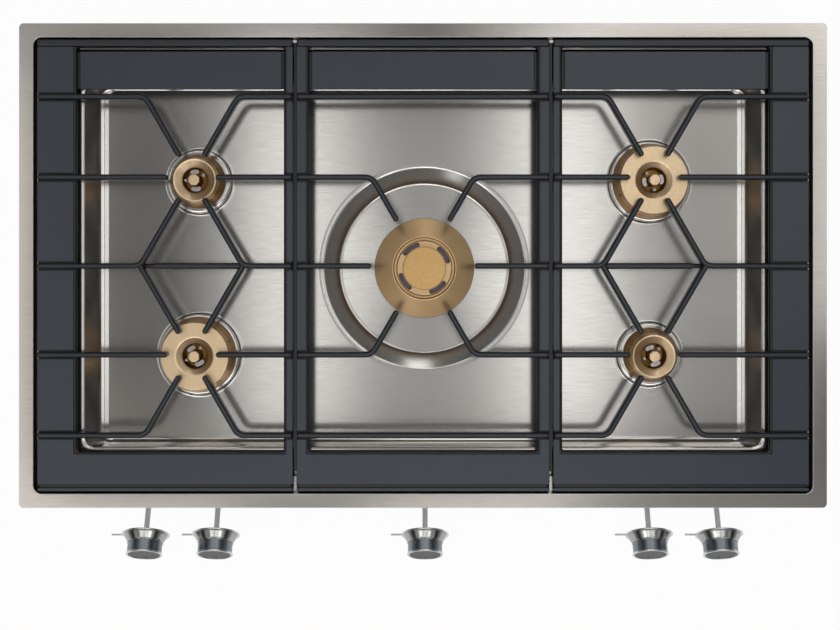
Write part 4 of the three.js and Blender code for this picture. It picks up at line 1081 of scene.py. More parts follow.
@dataclass
class PanSupport:
    """A cast pan support, drawn for the right side and mirrored for the left.

    A plate is given by the height of its top, its corner radius and the width of its rounded edge.
    Rows are the Y of the bars, and the groove is the gap between the front plate and its rail.
    """

    body: Body
    low: float
    high: float
    low_column: float
    high_column: float
    front: float = -251.7
    back: float = 251.7
    window_front: float = -207.0
    window_back: float = 243.7
    groove: Pair = (-247.5, -243.9)
    thickness: float = 6.0
    bed: Triple = (-1.7, 3.0, 3.2)
    root: float = -4.5
    plate: Triple = (0.0, 1.6, 0.9)
    front_plate: Triple = (0.0, 1.8, 0.9)
    front_rail: Triple = (0.0, 1.2, 1.1)
    back_rail: Triple = (2.2, 2.4, 2.2)
    plate_inset: float = 3.0
    plate_lap: float = 0.6
    panel: Triple = (-4.8, 1.5, 1.2)
    panel_gap: Pair = (2.4, 4.0)
    panel_depth: float = 43.0
    panel_sheet: float = 1.8
    flange: Triple = (-6.0, 1.0, 0.4)
    flange_reach: Pair = (4.0, 1.0)
    foot: Triple = (8.7, 2.0, 0.8)
    foot_size: Pair = (14.0, 7.0)
    foot_place: Pair = (18.0, 1.1)
    foot_root: float = 2.0
    rows: tuple[float, ...] = (187.8, 98.3, -0.5, -99.3, -188.8)
    gutter: float = 1.2
    bar_inset: float = 0.7
    finger_angle: float = 60.0
    bar: Bar = field(default_factory=Bar)

    @property
    def window(self) -> Pair:
        """The opening's low and high X."""
        return self.low + self.low_column, self.high - self.high_column

    def rectangle(self, x0: float, x1: float, y0: float, y1: float) -> list[Pair]:
        """Corners of a rectangle in plan."""
        return [(x0, y0), (x1, y0), (x1, y1), (x0, y1)]

    def frame_plates(self, blank: Blank) -> None:
        """Lays the bed of the frame and the plates that stand on it between the bars."""
        x0, x1 = self.window
        inset, clear = self.plate_inset, self.bar.half + self.gutter
        hole = self.rectangle(x0, x1, self.window_front, self.window_back)
        edge = self.rectangle(self.low, self.high, self.front, self.back)
        blank.pad(edge, -self.thickness, *self.bed, 3, [hole])
        limits = [self.window_back + self.plate_lap, *self.rows]
        for upper, lower in zip(limits, self.rows):
            y1 = upper - (clear if upper in self.rows else 0.0)
            y0 = lower + clear
            for side in ((self.low, x0 - inset), (x1 + inset, self.high)):
                blank.pad(self.rectangle(*side, y0, y1), self.root, *self.plate)
        y0, y1 = self.groove[1], self.rows[-1] - clear
        front = [
            (self.low, y0), (self.high, y0), (self.high, y1), (x1 + inset, y1),
            (x1 + inset, self.window_front - inset), (x0 - inset, self.window_front - inset),
            (x0 - inset, y1), (self.low, y1),
        ]
        blank.pad(front, self.root, *self.front_plate)
        rail = self.rectangle(self.low, self.high, self.front, self.groove[0])
        blank.pad(rail, self.root, *self.front_rail)
        back = self.rectangle(self.low, self.high, self.window_back, self.back)
        blank.pad(back, self.root, *self.back_rail, 4)

    def sunken_panel(self, blank: Blank) -> None:
        """Lays the sunken panel at the back, on the flange that ties it to the plates."""
        x0, x1 = self.window
        (side, behind), (reach, short) = self.panel_gap, self.flange_reach
        y1 = self.window_back - behind
        y0 = y1 - self.panel_depth
        panel = self.rectangle(x0 + side, x1 - side, y0, y1)
        blank.pad(panel, self.panel[0] - self.panel_sheet, *self.panel)
        flange = self.rectangle(x0 - reach, x1 + reach, y0 + short, y1 - short)
        blank.pad(flange, self.flange[0] - self.panel_sheet, *self.flange)

    def feet(self, blank: Blank) -> None:
        """Adds the feet that stand on the tray's ledge, each padded upside down and turned over."""
        (wide, deep), (aside, behind) = self.foot_size, self.foot_place
        for x in (self.low + aside, self.high - aside - wide):
            for y in (self.front + behind, self.back - behind - deep):
                upside = Blank()
                outline = self.rectangle(x, x + wide, y, y + deep)
                upside.pad(outline, self.thickness - self.foot_root, *self.foot)
                blank.absorb(upside.bm, Matrix.Diagonal((1.0, 1.0, -1.0, 1.0)))

    def finger(self, hub: Pair, edge: float | None, degrees: float, tip: float, row: float) -> list[Pair]:
        """Path of one finger from the frame over its bend to its tip.

        Args:
            hub: Centre of the star of fingers.
            edge: X of the frame's edge, or none where it starts at the bend.
            degrees: Direction from the hub.
            tip: Distance from the hub to the tip.
            row: Y of the row that it bends into.

        Returns:
            The path.
        """
        if row == hub[1]:
            across = math.cos(math.radians(degrees))
            return [(edge, hub[1]), (hub[0] + tip * across, hub[1])]
        turn = math.radians(degrees)
        heading = (math.cos(turn), math.sin(turn))
        end = (hub[0] + tip * heading[0], hub[1] + tip * heading[1])
        bend = (hub[0] + (row - hub[1]) * heading[0] / heading[1], row)
        return [bend, end] if edge is None else [(edge, row), bend, end]

    def star(
        self, blank: Blank, hub: Pair, tip: float, upper: float, lower: float, shared: float | None = None
    ) -> None:
        """Six fingers round a burner.

        Args:
            blank: Mesh that they go into.
            hub: Centre of the star.
            tip: Distance from the hub to the tips.
            upper: Row that the two back fingers bend into.
            lower: Row that the two front fingers bend into.
            shared: Row whose straight runs another star already has.
        """
        low, high = self.low + self.bar_inset, self.high - self.bar_inset
        slant = self.finger_angle
        plan = [(high, 0.0, hub[1]), (low, 180.0, hub[1])]
        plan += [(high, slant, upper), (low, 180.0 - slant, upper)]
        plan += [(high, -slant, lower), (low, 180.0 + slant, lower)]
        for edge, degrees, row in plan:
            from_bend = row == shared
            path = self.finger(hub, None if from_bend else edge, degrees, tip, row)
            frames = self.bar.frames(path, not from_bend, True)
            blank.sweep(self.bar.section(), frames)

    def fingers(self, blank: Blank) -> None:
        """Adds this support's bars."""
        raise NotImplementedError

    def build(self, paint: bpy.types.Material) -> None:
        """Casts the support."""
        blank = Blank()
        self.frame_plates(blank)
        self.sunken_panel(blank)
        self.feet(blank)
        self.fingers(blank)
        if self.body is Body.SUPPORT_LEFT:
            mirror = Matrix.Diagonal((-1.0, 1.0, 1.0, 1.0))
            bmesh.ops.transform(blank.bm, matrix=mirror, verts=blank.bm.verts[:])
        name = self.body.value
        blank.leave(f"cast_{name}", name, Slot.ENAMEL, [name], paint, crease=32.0)


@dataclass
class SideSupport(PanSupport):
    """A pan support over two side burners.

    The brace and the link to it are bars that are lower and narrower than the others.
    """

    hub_x: float = 257.5
    tip: float = 27.0
    brace: Pair = (3.2, -0.2)
    brace_start: float = 299.4
    link: Pair = (6.0, 0.7)
    link_lap: float = 2.0

    def fingers(self, blank: Blank) -> None:
        """Two stars of fingers that meet in the middle row, and the brace between the bends."""
        first, rear, middle, front, last = self.rows
        self.star(blank, (self.hub_x, rear), self.tip, first, middle)
        self.star(blank, (self.hub_x, front), self.tip, middle, last, middle)
        reach = (rear - middle) / math.tan(math.radians(self.finger_angle))
        brace = (self.hub_x - reach, self.brace_start)
        link = (self.brace_start - self.link_lap, self.hub_x + reach)
        for (start, end), shape in ((brace, self.brace), (link, self.link)):
            path = flat_path((start, middle), (end, middle))
            blank.sweep(self.bar.section(*shape), self.bar.frames(path, False, False))


@dataclass
class CentreSupport(PanSupport):
    """The pan support over the wok burner."""

    tip: float = 57.5
    seam_low: float = -5.6
    seam_lip: Triple = (-3.2, 0.5, 0.4)
    seam_reach: float = 3.2
    seam_hold: float = 4.0
    seam_ends: Pair = (22.0, 3.0)

    def fingers(self, blank: Blank) -> None:
        """One large star and the two straight bars."""
        first, rear, middle, front, last = self.rows
        self.seam_lips(blank)
        self.star(blank, (0.0, middle), self.tip, rear, front)
        for row in (first, last):
            path = flat_path((self.low + self.bar_inset, row), (self.high - self.bar_inset, row))
            blank.sweep(self.bar.section(), self.bar.frames(path, True, True))

    def seam_lips(self, blank: Blank) -> None:
        """Lays a low lip along each side, which nearly closes the seam to the next support."""
        reach, hold = self.seam_reach, self.seam_hold
        y0, y1 = self.front + self.seam_ends[0], self.back - self.seam_ends[1]
        for x0, x1 in ((self.low - reach, self.low + hold), (self.high - hold, self.high + reach)):
            blank.pad(self.rectangle(x0, x1, y0, y1), self.seam_low, *self.seam_lip)


# ---------------------------------------------------------------- burners


# Share of a pin's radius over which its tip is rounded.
TIP_SHARE = 0.4


@dataclass
class BurnerSize:
    """The sizes in which the two kinds of side burner differ."""

    ring: float
    dish: float
    dish_depth: float
    skirt: float
    collar: float
    ports: int


SMALL = BurnerSize(ring=24.3, dish=22.9, dish_depth=5.2, skirt=6.8, collar=36.9, ports=12)
LARGE = BurnerSize(ring=37.9, dish=21.3, dish_depth=4.7, skirt=5.4, collar=46.7, ports=16)


def spoke(radius: float, degrees: float) -> Pair:
    """The point at a distance and in a direction from the axis."""
    turn = math.radians(degrees)
    return radius * math.cos(turn), radius * math.sin(turn)


def pins(at: Pair, sizes: tuple[Triple, ...]) -> Blank:
    """Stands round pins with softened tips on one axis.

    Args:
        at: Where the axis stands.
        sizes: Radius, foot and top of each.

    Returns:
        The pins.
    """
    made = Blank()
    for radius, low, high in sizes:
        outline = flat_path((0.0, low), (radius, low), (radius, high), (0.0, high))
        pin = Blank()
        pin.turn(eased(outline, [0.0, radius * TIP_SHARE], 3), 20, at)
        made.absorb(pin.bm)
    return made


def arc_slot(near: float, far: float, middle: float, half: float, steps: int = 10) -> list[Pair]:
    """Outline of a curved slot about the origin.

    Args:
        near: Its inner radius.
        far: Its outer radius.
        middle: Direction of its middle, in degrees.
        half: Half its arc, in degrees.
        steps: Chords along each side.

    Returns:
        The outline.
    """
    radius, width = (near + far) / 2, (far - near) / 2
    short = half - math.degrees(width / radius)
    start, end = math.radians(middle - short), math.radians(middle + short)
    spots = [(start + (end - start) * i / steps, width, 0.0) for i in range(steps + 1)]
    rounds = [math.pi * i / 8 for i in range(1, 8)]
    spots += [(end, width * math.cos(a), width * math.sin(a)) for a in rounds]
    spots += [(end + (start - end) * i / steps, -width, 0.0) for i in range(steps + 1)]
    spots += [(start, -width * math.cos(a), -width * math.sin(a)) for a in rounds]
    made = []
    for turn, out, on in spots:
        reach, across, along = radius + out, math.cos(turn), math.sin(turn)
        made.append((reach * across - on * along, reach * along + on * across))
    return made


@dataclass
class SideBurner:
    """One of the four brass burners at the sides.

    Pairs are a radius and a height or a length, unless their name says otherwise. Pins are given by
    their radius, foot and top, and the clip's arcs by their middle and their half, in degrees.
    """

    name: str
    centre: Pair
    size: BurnerSize
    igniter: float
    seat: float = -20.0
    seat_skirt: float = 2.2
    play: float = 0.3
    top: float = -8.0
    foot: float = -34.7
    foot_rim: float = 1.4
    band: float = 2.6
    dish_lip: Pair = (0.6, 1.2)
    port_reach: float = 1.2
    port_share: float = 0.86
    well: Pair = (13.6, -31.0)
    post: Pair = (5.4, -9.3)
    neck: Pair = (20.0, -56.0)
    boss: Pair = (7.0, 18.0)
    button: Pair = (6.9, -9.0)
    button_top: float = -3.0
    button_chamfer: float = 0.9
    probe_circle: float = 10.4
    probe_turn: float = 145.0
    spark_pins: tuple[Triple, ...] = ((2.1, -62.0, -16.4), (1.5, -17.0, -14.4), (0.55, -15.0, -12.5))
    probe_pins: tuple[Triple, ...] = ((2.1, -62.0, -15.0), (1.5, -15.6, -10.5))
    clip_arcs: tuple[Pair, ...] = ((62.0, 30.0), (238.0, 34.0))
    clip_radii: Pair = (7.2, 12.4)
    clip_heights: Pair = (-17.4, -16.2)

    @property
    def place(self) -> Matrix:
        """Where the burner's axis stands."""
        return Matrix.Translation((*self.centre, 0.0))

    @property
    def seat_radius(self) -> float:
        """Radius of the ring at its seat."""
        return self.size.ring + self.seat_skirt

    def base(self, paint: bpy.types.Material) -> None:
        """Turns the base: skirt, well, post and mixing neck."""
        foot, seat, cone = self.size.ring + self.size.skirt, self.seat_radius, self.seat - self.play
        (well, well_floor), (post, post_top) = self.well, self.post
        (neck, neck_foot), (boss, boss_length) = self.neck, self.boss
        profile = flat_path(
            (0.0, neck_foot - boss_length), (boss, neck_foot - boss_length), (boss, neck_foot),
            (neck, neck_foot), (neck, self.foot), (foot, self.foot),
            (foot, self.foot + self.foot_rim), (seat, cone), (well, cone), (well, well_floor),
            (post, well_floor), (post, post_top), (0.0, post_top),
        )
        reach = [1.0, 0.8, 1.5, 0.0, 0.5, 0.6, 0.5, 0.5, 1.2, 1.2, 0.4]
        blank = Blank()
        blank.turn(eased(profile, reach, 3), 96)
        name, node = f"base_{self.name}", f"burner_base_{self.name}"
        blank.leave(name, Body.HOB.value, Slot.DARK_BRASS, [node], paint, self.place)

    def ring(self, paint: bpy.types.Material) -> None:
        """Turns the flame ring and mills its ports."""
        size, seat, well = self.size, self.seat_radius, self.well[0]
        band = self.seat + self.band
        slope = (band - self.seat) / (self.top - self.seat)
        wider, deeper = self.dish_lip
        profile = flat_path(
            (well, self.seat), (seat, self.seat), (seat + (size.ring - seat) * slope, band),
            (size.ring, self.top), (size.dish, self.top),
            (well + wider, self.top - size.dish_depth), (well, self.top - size.dish_depth - deeper),
        )
        blank = Blank()
        blank.turn(eased(profile, [0.0, 0.0, 0.8, 1.2, 0.8], 4), size.ports * FACETS_A_PORT)
        blank.mill_ports(self.seat, band, seat - self.port_reach, self.port_share)
        node = f"burner_ring_{self.name}"
        blank.leave(f"flame_ring_{self.name}", node, Slot.BRASS, [node], paint, self.place)

    def cap(self, paint: bpy.types.Material) -> None:
        """Makes the eight-sided button in the middle."""
        (radius, low), high, chamfer = self.button, self.button_top, self.button_chamfer
        profile = flat_path(
            (0.0, low), (radius, low), (radius, high - chamfer), (radius - chamfer, high), (0.0, high)
        )
        blank = Blank()
        blank.turn(profile, 8)
        blank.soften(0.35, 2, 20.0)
        node = f"burner_cap_{self.name}"
        place = self.place @ Matrix.Rotation(math.radians(22.5), 4, "Z")
        blank.leave(f"button_{self.name}", node, Slot.BRASS, [node], paint, place)

    def fittings(self, ceramic: bpy.types.Material, steel: bpy.types.Material) -> None:
        """Adds the igniter, the thermocouple and the spring clip that holds them."""
        igniter = pins(spoke(self.probe_circle, self.igniter), self.spark_pins)
        name, node = f"spark_{self.name}", f"igniter_{self.name}"
        igniter.leave(name, Body.HOB.value, Slot.CERAMIC, [node], ceramic, self.place)
        probe = pins(spoke(self.probe_circle, self.igniter + self.probe_turn), self.probe_pins)
        name, node = f"flame_probe_{self.name}", f"thermocouple_{self.name}"
        probe.leave(name, Body.HOB.value, Slot.PROBE, [node], steel, self.place)
        clip = Blank()
        for turn, half in self.clip_arcs:
            outline = arc_slot(*self.clip_radii, self.igniter + turn, half)
            clip.pad(outline, *self.clip_heights, 0.0, 0.4)
        clip.leave(f"clip_{self.name}", Body.HOB.value, Slot.PROBE, [], steel, self.place)

    def build(self, paints: dict[str, bpy.types.Material]) -> None:
        """Makes all the pieces of the burner."""
        self.base(paints["dark_brass"])
        self.ring(paints["brass"])
        self.cap(paints["brass"])
        self.fittings(paints["ceramic"], paints["probe"])


@dataclass
class WokBurner:
    """The large burner in the middle, with two flame rings.

    Pairs are a radius and a height, unless their name says otherwise.
    """

    centre: Pair
    ring_radius: float = 56.2
    opening: float = 34.6
    ring_top: float = -9.0
    ring_band: Pair = (2.8, 3.6)
    ring_step: float = 6.5
    ring_lip: float = 1.1
    port_reach: float = 0.6
    port_share: float = 0.88
    seat: float = -23.0
    play: float = 0.3
    skirt: Pair = (46.0, -56.7)
    skirt_top: float = 53.0
    neck: Pair = (31.0, -70.0)
    boss: Pair = (7.0, 9.0)
    well: float = -42.0
    post: float = 21.0
    inner_radius: float = 30.8
    inner_heights: Pair = (-19.0, -11.0)
    throat_gap: float = 0.6
    slot_radii: Pair = (25.0, 29.6)
    slot_turn: float = 34.5
    slot_half: float = 22.5
    cap_radius: float = 23.9
    cap_heights: Pair = (-10.7, -4.7)
    ports: int = 24
    probe_circle: float = 27.5
    spark_turn: float = 60.0
    spark_pins: tuple[Triple, ...] = ((2.1, -76.0, -25.3), (1.2, -26.3, -21.3))
    probe_turn: float = 205.0
    probe_pins: tuple[Triple, ...] = ((2.1, -76.0, -23.3), (1.2, -24.3, -19.3))

    @property
    def place(self) -> Matrix:
        """Where the burner's axis stands."""
        return Matrix.Translation((*self.centre, 0.0))

    def base(self, paint: bpy.types.Material) -> None:
        """Turns the base."""
        cone, floor = self.seat - self.play, self.inner_heights[0] - self.play
        (neck, neck_foot), (boss, boss_length) = self.neck, self.boss
        skirt, dish = self.skirt
        profile = flat_path(
            (0.0, neck_foot - boss_length), (boss, neck_foot - boss_length), (boss, neck_foot),
            (neck, neck_foot), (neck, dish), (skirt, dish), (self.skirt_top, cone),
            (self.opening, cone), (self.opening, self.well), (self.post, self.well),
            (self.post, floor), (0.0, floor),
        )
        blank = Blank()
        blank.turn(eased(profile, [1, 1, 2, 0, 2, 1, 0.8, 1, 1, 0.6], 4), 120)
        blank.leave("wok_base", Body.HOB.value, Slot.DARK_BRASS, ["wok_burner_base"], paint, self.place)

    def outer_ring(self, paint: bpy.types.Material) -> None:
        """Turns the outer ring and mills its ports."""
        radius, seat, top = self.ring_radius, self.seat, self.ring_top
        throat, step = self.inner_radius + self.throat_gap, self.ring_top - self.ring_step
        band, crown = self.ring_band
        profile = flat_path(
            (throat, seat), (radius, seat), (radius, seat + band), (radius, seat + crown),
            (self.opening + self.ring_lip, top), (self.opening, top), (self.opening, step),
            (throat, step),
        )
        blank = Blank()
        blank.turn(eased(profile, [0.0, 0.0, 0.5, 0.4, 0.5, 1.5], 3), self.ports * FACETS_A_PORT)
        blank.mill_ports(seat, seat + band, radius - self.port_reach, self.port_share)
        blank.leave("wok_ring", "wok_outer_ring", Slot.BRASS, ["wok_outer_ring"], paint, self.place)

    def inner_ring(self, paint: bpy.types.Material, steel: bpy.types.Material) -> None:
        """Makes the inner ring with its curved slots, and a dark steel plate that closes them below, a
        painted shade that darkens the slots.
        """
        near, far = self.slot_radii
        slots = [arc_slot(near, far, self.slot_turn + 90 * i, self.slot_half) for i in range(4)]
        blank = Blank()
        blank.pad(circle_points(self.inner_radius, 120), *self.inner_heights, 0.0, 0.8, 4, slots)
        body = "wok_inner_ring"
        blank.leave("wok_slotted_ring", body, Slot.BRASS, [body], paint, self.place)
        # The dark plate under the slots is painted shade.
        near, far, low = near - 1.0, far + 0.6, self.inner_heights[0] + 0.1
        high = low + 0.8
        plate = Blank()
        plate.turn(flat_path((near, low), (far, low), (far, high), (near, high)), 96)
        plate.leave("wok_slot_shade_plate", body, Slot.PROBE, [], steel, self.place)

    def lid(self, paint: bpy.types.Material) -> None:
        """Turns the round lid in the middle."""
        (low, high), radius = self.cap_heights, self.cap_radius
        profile = flat_path(
            (0.0, low), (radius - 0.4, low), (radius, low + 1), (radius, high - 0.5), (0.0, high)
        )
        blank = Blank()
        blank.turn(eased(profile, [0.3, 0.4, 1.0], 4), 96)
        blank.leave("wok_lid", "wok_cap", Slot.BRASS, ["wok_cap"], paint, self.place)

    def fittings(self, ceramic: bpy.types.Material, steel: bpy.types.Material) -> None:
        """Adds the igniter and the thermocouple in the gap between the rings."""
        spark = pins(spoke(self.probe_circle, self.spark_turn), self.spark_pins)
        spark.leave("spark_wok", Body.HOB.value, Slot.CERAMIC, ["igniter_wok"], ceramic, self.place)
        probe = pins(spoke(self.probe_circle, self.probe_turn), self.probe_pins)
        probe.leave("flame_probe_wok", Body.HOB.value, Slot.PROBE, ["thermocouple_wok"], steel, self.place)

    def build(self, paints: dict[str, bpy.types.Material]) -> None:
        """Makes all the pieces of the burner."""
        self.base(paints["dark_brass"])
        self.outer_ring(paints["wok_brass"])
        self.inner_ring(paints["wok_brass"], paints["slot_steel"])
        self.lid(paints["sintered"])
        self.fittings(paints["ceramic"], paints["probe"])


# ---------------------------------------------------------------- knobs and taps


@dataclass
class TapLine:
    """A knob, its spindle and its gas tap, on one tilted axis that points towards the user.

    Pairs are a radius and a length along the axis, unless their name says otherwise. The axis
    starts under the knob's flange, and places below it are negative.
    """

    number: int
    x: float
    y: float = -305.4
    z: float = -32.0
    tilt: float = 27.0
    flange: Pair = (26.9, 1.8)
    pointer: Pair = (1.1, 11.5)
    pointer_tip: tuple[Pair, Pair] = ((0.3, 0.9), (0.6, 0.6))
    cone: Pair = (24.7, 9.3)
    cone_foot: float = 0.6
    collar: Pair = (0.9, 1.6)
    grip: Pair = (19.4, 11.0)
    end_ring: Triple = (20.3, 2.4, 2.0)
    end_seat: float = 0.2
    face_drop: float = 0.8
    face_hold: float = 0.5
    face_back: float = 1.0
    index_half: float = 0.6
    index_run: Pair = (1.0, 7.0)
    mark_heights: Pair = (0.4, 0.95)
    spindle_radius: float = 3.0
    spindle_flat: float = 2.1
    spindle_ends: Pair = (-73.0, 0.5)
    face: float = -64.0
    length: float = 36.0
    stub: Pair = (4.2, 9.0)
    barrel: float = 10.8
    waist: float = 9.8
    neck: Pair = (7.6, 9.0)
    bore: Pair = (6.5, 24.5)
    bore_taper: float = 0.6
    plug_bore: float = 3.3
    plug_ends: Pair = (5.2, 5.8)
    plug_length: float = 30.0
    plug_set: float = 3.0
    rail_drop: float = -97.0
    rail_radius: float = 8.5
    leg_foot: Pair = (6.0, 3.0)
    leg_radius: float = 5.2

    @property
    def place(self) -> Matrix:
        """Puts a piece drawn about +Z on the tap's axis."""
        turn = Matrix.Rotation(math.radians(90.0 - self.tilt), 4, "X")
        return Matrix.Translation((self.x, self.y, self.z)) @ turn

    @property
    def middle(self) -> Vector:
        """The middle of the tap body."""
        return self.place @ Vector((0.0, 0.0, self.face - self.length / 2))

    def dress(
        self, blank: Blank, name: str, paint: bpy.types.Material, nodes: list[str] | None = None
    ) -> None:
        """Leaves a piece of the knob, which moves with it."""
        body = f"knob_{self.number}"
        blank.leave(f"{name}_{self.number}", body, Slot.KNOB, nodes or [], paint, self.place)

    def knob(self, paints: dict[str, bpy.types.Material]) -> None:
        """Turns the knob: flange with its pointer, cone, grip, end ring and face."""
        radius, thick = self.flange
        cone, cone_end = self.cone[0], thick + self.cone[1]
        grip, grip_end = self.grip[0], cone_end + self.grip[1]
        collar, collar_length = grip + self.collar[0], self.collar[1]
        foot = Blank()
        profile = flat_path((0.0, 0.0), (radius, 0.0), (radius, thick), (0.0, thick))
        foot.turn(eased(profile, [0.4, 0.4], 3), 96)
        self.add_pointer(foot)
        self.dress(foot, "knob_flange", paints["knob"], [f"knob_{self.number}"])
        # The cone and the grip wear darker copies of the knob's steel, as painted shade on their sides.
        bell = Blank()
        profile = flat_path(
            (0.0, thick), (cone, thick), (cone, thick + self.cone_foot),
            (collar, cone_end - collar_length), (collar, cone_end), (0.0, cone_end),
        )
        bell.turn(eased(profile, [0.2, 0.4, 0.8, 0.3], 3), 96)
        self.dress(bell, "knob_cone", paints["cone"])
        shaft = Blank()
        profile = flat_path((0.0, cone_end), (grip, cone_end), (grip, grip_end), (0.0, grip_end))
        shaft.turn(profile, 96)
        self.dress(shaft, "knob_grip", paints["grip"])
        self.front(paints, grip_end)

    def add_pointer(self, blank: Blank) -> None:
        """Adds the pointer that stands out of the flange."""
        (radius, reach), middle = self.pointer, self.flange[1] / 2
        path = [Vector((-self.cone[0], 0, middle)), Vector((-self.flange[0] - reach, 0, middle))]
        frames = stations(path, Vector((0.0, 0.0, 1.0)))
        tip = frames[-1]
        for on, width in self.pointer_tip:
            frames.append(tip @ Matrix.Translation((0, 0, on)) @ Matrix.Diagonal((width, width, 1, 1)))
        rod = Blank()
        rod.sweep(circle_points(radius, 16), frames)
        blank.absorb(rod.bm)

    def front(self, paints: dict[str, bpy.types.Material], low: float) -> None:
        """Turns the end ring, and the face inside it with its index mark.

        Args:
            paints: The finishes.
            low: Where the grip ends.
        """
        radius, length, width = self.end_ring
        top, inner, foot = low + length, radius - width, low + self.end_seat
        hold, level = inner - self.face_hold, top - self.face_drop
        ring = Blank()
        profile = flat_path(
            (hold, foot), (radius, foot), (radius, top), (inner, top), (inner, level), (hold, level)
        )
        ring.turn(eased(profile, [0.6, 0.5, 0.3, 0.0], 3), 96)
        self.dress(ring, "knob_end", paints["knob"])
        half = self.index_half
        start, end = (one - inner for one in self.index_run)
        groove = [(-half, start), (half, start), (half, end), (-half, end)]
        face = Blank()
        face.pad(circle_points(inner - 0.2, 96), low + self.face_back, level, 0.0, 0.2, 1, [groove])
        self.dress(face, "knob_face", paints["face"])
        mark = Blank()
        mark.pad(circle_points(inner - 0.4, 48), *(low + one for one in self.mark_heights), 0.0, 0.0)
        self.dress(mark, "knob_mark", paints["seal"])

    def spindle(self, paint: bpy.types.Material) -> None:
        """Draws the spindle with its flat."""
        radius, chords = self.spindle_radius, 24
        half = math.acos(self.spindle_flat / radius)
        turns = [math.pi / 2 + half + (math.tau - 2 * half) * i / chords for i in range(chords + 1)]
        section = [(radius * math.cos(t), radius * math.sin(t)) for t in turns]
        ends = [Vector((0, 0, end)) for end in self.spindle_ends]
        rod = Blank()
        rod.sweep(section, stations(ends, Vector((0.0, 1.0, 0.0))))
        name, node = f"spindle_{self.number}", f"tap_spindle_{self.number}"
        rod.leave(name, f"knob_{self.number}", Slot.PROBE, [node], paint, self.place)

    def plug(self, paint: bpy.types.Material) -> None:
        """Turns the tapered cock inside the tap."""
        bore, (near, far) = self.plug_bore, self.plug_ends
        front = self.face + self.neck[1] - self.plug_set
        back = front - self.plug_length
        cone = Blank()
        cone.turn(flat_path((bore, back), (near, back), (far, front), (bore, front)), 48)
        cone.soften(0.3, 2)
        node = f"tap_plug_{self.number}"
        cone.leave(f"cock_{self.number}", node, Slot.BRASS, [node], paint, self.place)

    def tap(self, paint: bpy.types.Material) -> None:
        """Turns the tap body, with its nut and its leg down to the rail."""
        face, back = self.face, self.face - self.length
        (stub, stub_length), (neck, neck_length) = self.stub, self.neck
        (bore, bore_depth), barrel, waist = self.bore, self.barrel, self.waist
        profile = flat_path(
            (0.0, back - stub_length), (stub, back - stub_length), (stub, back), (barrel, back),
            (barrel, back + 6), (waist, back + 8), (waist, face - 8), (barrel, face - 6),
            (barrel, face), (neck, face), (neck, face + neck_length), (bore, face + neck_length),
            (bore - self.bore_taper, face - bore_depth), (0.0, face - bore_depth),
        )
        reach = [0.4, 0.3, 0.6, 0.8, 0.8, 0.8, 0.8, 0.6, 0.3, 0.5, 0.2, 0.2]
        body = Blank()
        body.turn(eased(profile, reach, 2), 48)
        nut = Blank()
        nut.turn(flat_path((4.0, back - 6), (7.2, back - 6), (7.2, back - 1), (4.0, back - 1)), 6)
        nut.soften(0.5, 2)
        body.absorb(nut.bm)
        node = f"gas_tap_{self.number}"
        body.leave(node + "_body", Body.HOB.value, Slot.TAP, [node], paint, self.place)
        self.leg(paint)

    def leg(self, paint: bpy.types.Material) -> None:
        """Adds the leg from the tap to the saddle on the rail."""
        middle, low, thin = self.middle, self.rail_drop + self.rail_radius, self.leg_radius
        (saddle, rise), high = self.leg_foot, self.middle.z - 6
        profile = flat_path(
            (0, low), (saddle, low), (saddle, low + rise), (thin, low + rise + 2), (thin, high), (0, high)
        )
        leg = Blank()
        leg.turn(eased(profile, [0.6, 0.8, 0.8, 0.0], 3), 40, (middle.x, middle.y))
        leg.leave(f"tap_leg_{self.number}", Body.HOB.value, Slot.TAP, [], paint)

    def build(self, paints: dict[str, bpy.types.Material]) -> None:
        """Makes all the pieces on this axis."""
        self.knob(paints)
        self.spindle(paints["sleeve"])
        self.plug(paints["brass"])
        self.tap(paints["tap"])


# ---------------------------------------------------------------- underside


